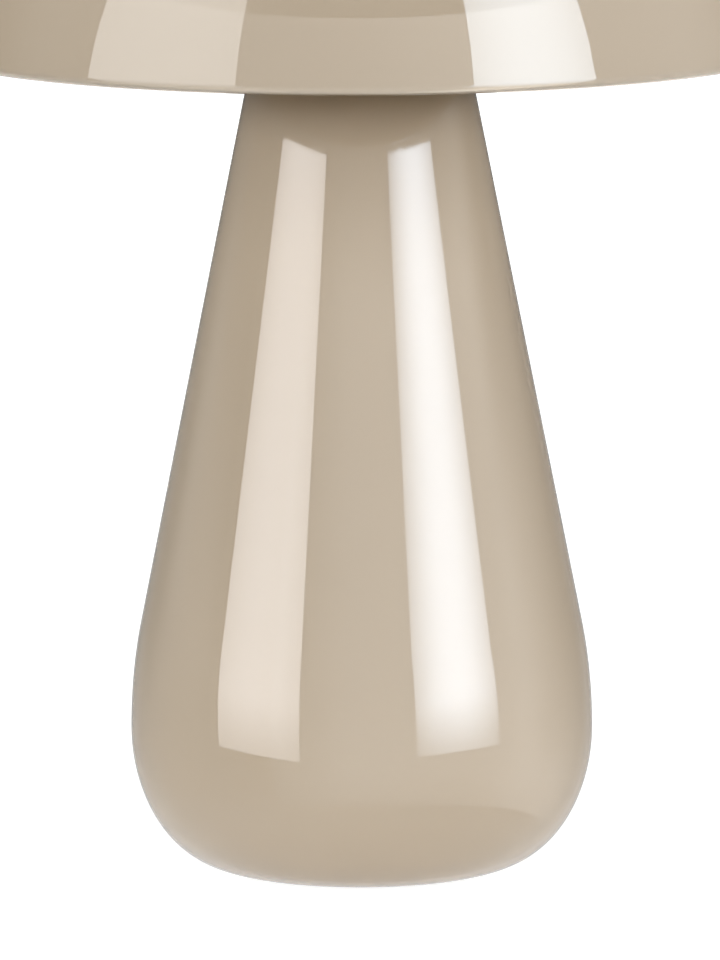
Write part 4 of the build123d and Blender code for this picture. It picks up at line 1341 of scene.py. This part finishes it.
def wall_glow(tree):
    """Strongest in its lower half, a little stronger on the right, and weak low at the sides."""
    x, y, z = coordinates(tree)
    strength = steps_of(tree, z, wall_levels)
    sideways = ramp(tree, x, -wall_radius, wall_radius, *wall_shares)
    left = ramp(tree, x, -wall_radius, -wall_front, low_sides[0], 1)
    right = ramp(tree, x, wall_front, wall_radius, 1, low_sides[1])
    height = ramp(tree, z, *low_part, low_sides[0], 1)
    share = maths(tree, "MAXIMUM", maths(tree, "MINIMUM", left, right), height)
    return maths(tree, "MULTIPLY", maths(tree, "MULTIPLY", strength, sideways), share)


def wall_colour(tree):
    """Warm at its lower edge, as light is that comes back from the dome's inside."""
    share = ramp(tree, coordinates(tree)["Z"], *warm_part, 0, 1)
    return mix_colours(tree, share, wall_warm, wall_cool)


wall_edges = [[(side, wall_levels[end][0]) for side in (-wall_side, wall_side)] for end in (0, -1)]
stage_piece(
    "light_wall", upright_sheet(wall_radius, *wall_edges), emitter("wall_glow", wall_colour, wall_glow),
    glossy=False, diffuse=True,
)


def soft_lamp(name, place, size, power, target=(0, 0, 0.15)):
    """An area lamp that lights the colour but isn't mirrored in the gloss."""
    data = bpy.data.lights.new(name, "AREA")
    data.shape = "RECTANGLE"
    data.size, data.size_y = size
    data.energy = power
    lamp = bpy.data.objects.new(name, data)
    scene.collection.objects.link(lamp)
    lamp.location = place
    lamp.rotation_mode = "QUATERNION"
    lamp.rotation_quaternion = (Vector(target) - Vector(place)).to_track_quat("-Z", "Y")
    lamp.visible_glossy = False
    lamp.visible_camera = False


soft_lamp("back_fill", place=(0, 3.2, 1.2), size=(2.4, 1.6), power=40)
soft_lamp("top_fill", place=(0, 0.4, 2.4), size=(1.2, 1.2), power=8)

# %% White world
def white_to_the_eye(tree):
    """1 where the camera or a mirror looks, 0 where light falls on the lamp."""
    rays = tree.nodes.new("ShaderNodeLightPath")
    seen = maths(tree, "MAXIMUM", rays.outputs["Is Camera Ray"], rays.outputs["Is Glossy Ray"])
    return maths(tree, "MAXIMUM", seen, rays.outputs["Is Transmission Ray"])


ambient = 0.05
world = bpy.data.worlds.new("white_studio")
world.use_nodes = True
scene.world = world
sky = world.node_tree.nodes["Background"]
sky.inputs["Color"].default_value = (1, 1, 1, 1)
lift = maths(world.node_tree, "MULTIPLY", white_to_the_eye(world.node_tree), 1 - ambient)
world.node_tree.links.new(maths(world.node_tree, "ADD", lift, ambient), sky.inputs["Strength"])
print("strength of the world where it lights the lamp:", ambient)

# %% [markdown]
# The floor is white to the camera and keeps a faint shadow. For the light that it throws
# back it is a small white sheet under the lamp on a darker ground: the sheet lights the
# round bottom of the base from below, and hardly reaches the neck.

# %% Lay the floor
# Each pair is a value near the lamp and one far from it; both reaches are in m.
sheet_bounce = (0.9, 0.05)
sheet_reach = (0.16, 0.36)
floor_seen = (0.35, 0.35)
floor_glow = (0.93, 1.0)
floor_reach = (0.5, 1.5)
floor_size = 12
floor_drop = 0.1 * mm


def floor_material():
    """The sheet for the light that is thrown back, and the bright floor for the eye."""
    material, tree, surface = bare_material("white_floor")
    reach = from_axis(tree)
    choice = tree.nodes.new("ShaderNodeMixShader")
    tree.links.new(white_to_the_eye(tree), choice.inputs["Fac"])
    for socket, span, bounce, lift in (
        (choice.inputs[1], sheet_reach, sheet_bounce, (0, 0)),
        (choice.inputs[2], floor_reach, floor_seen, floor_glow),
    ):
        plain = tree.nodes.new("ShaderNodeBsdfDiffuse")
        tree.links.new(ramp(tree, reach, *span, *bounce), plain.inputs["Color"])
        shine = tree.nodes.new("ShaderNodeEmission")
        tree.links.new(ramp(tree, reach, *span, *lift), shine.inputs["Strength"])
        tree.links.new(added(tree, plain, shine).outputs[0], socket)
    tree.links.new(choice.outputs[0], surface)
    return material


floor = bmesh.new()
bmesh.ops.create_grid(floor, x_segments=1, y_segments=1, size=floor_size)
bmesh.ops.translate(floor, verts=floor.verts, vec=(0, 0, -floor_drop))
stage_piece("floor_sheet", floor, floor_material(), camera=True, glossy=False, diffuse=True)
print("own glow of the floor to the eye, near and far:", floor_glow)
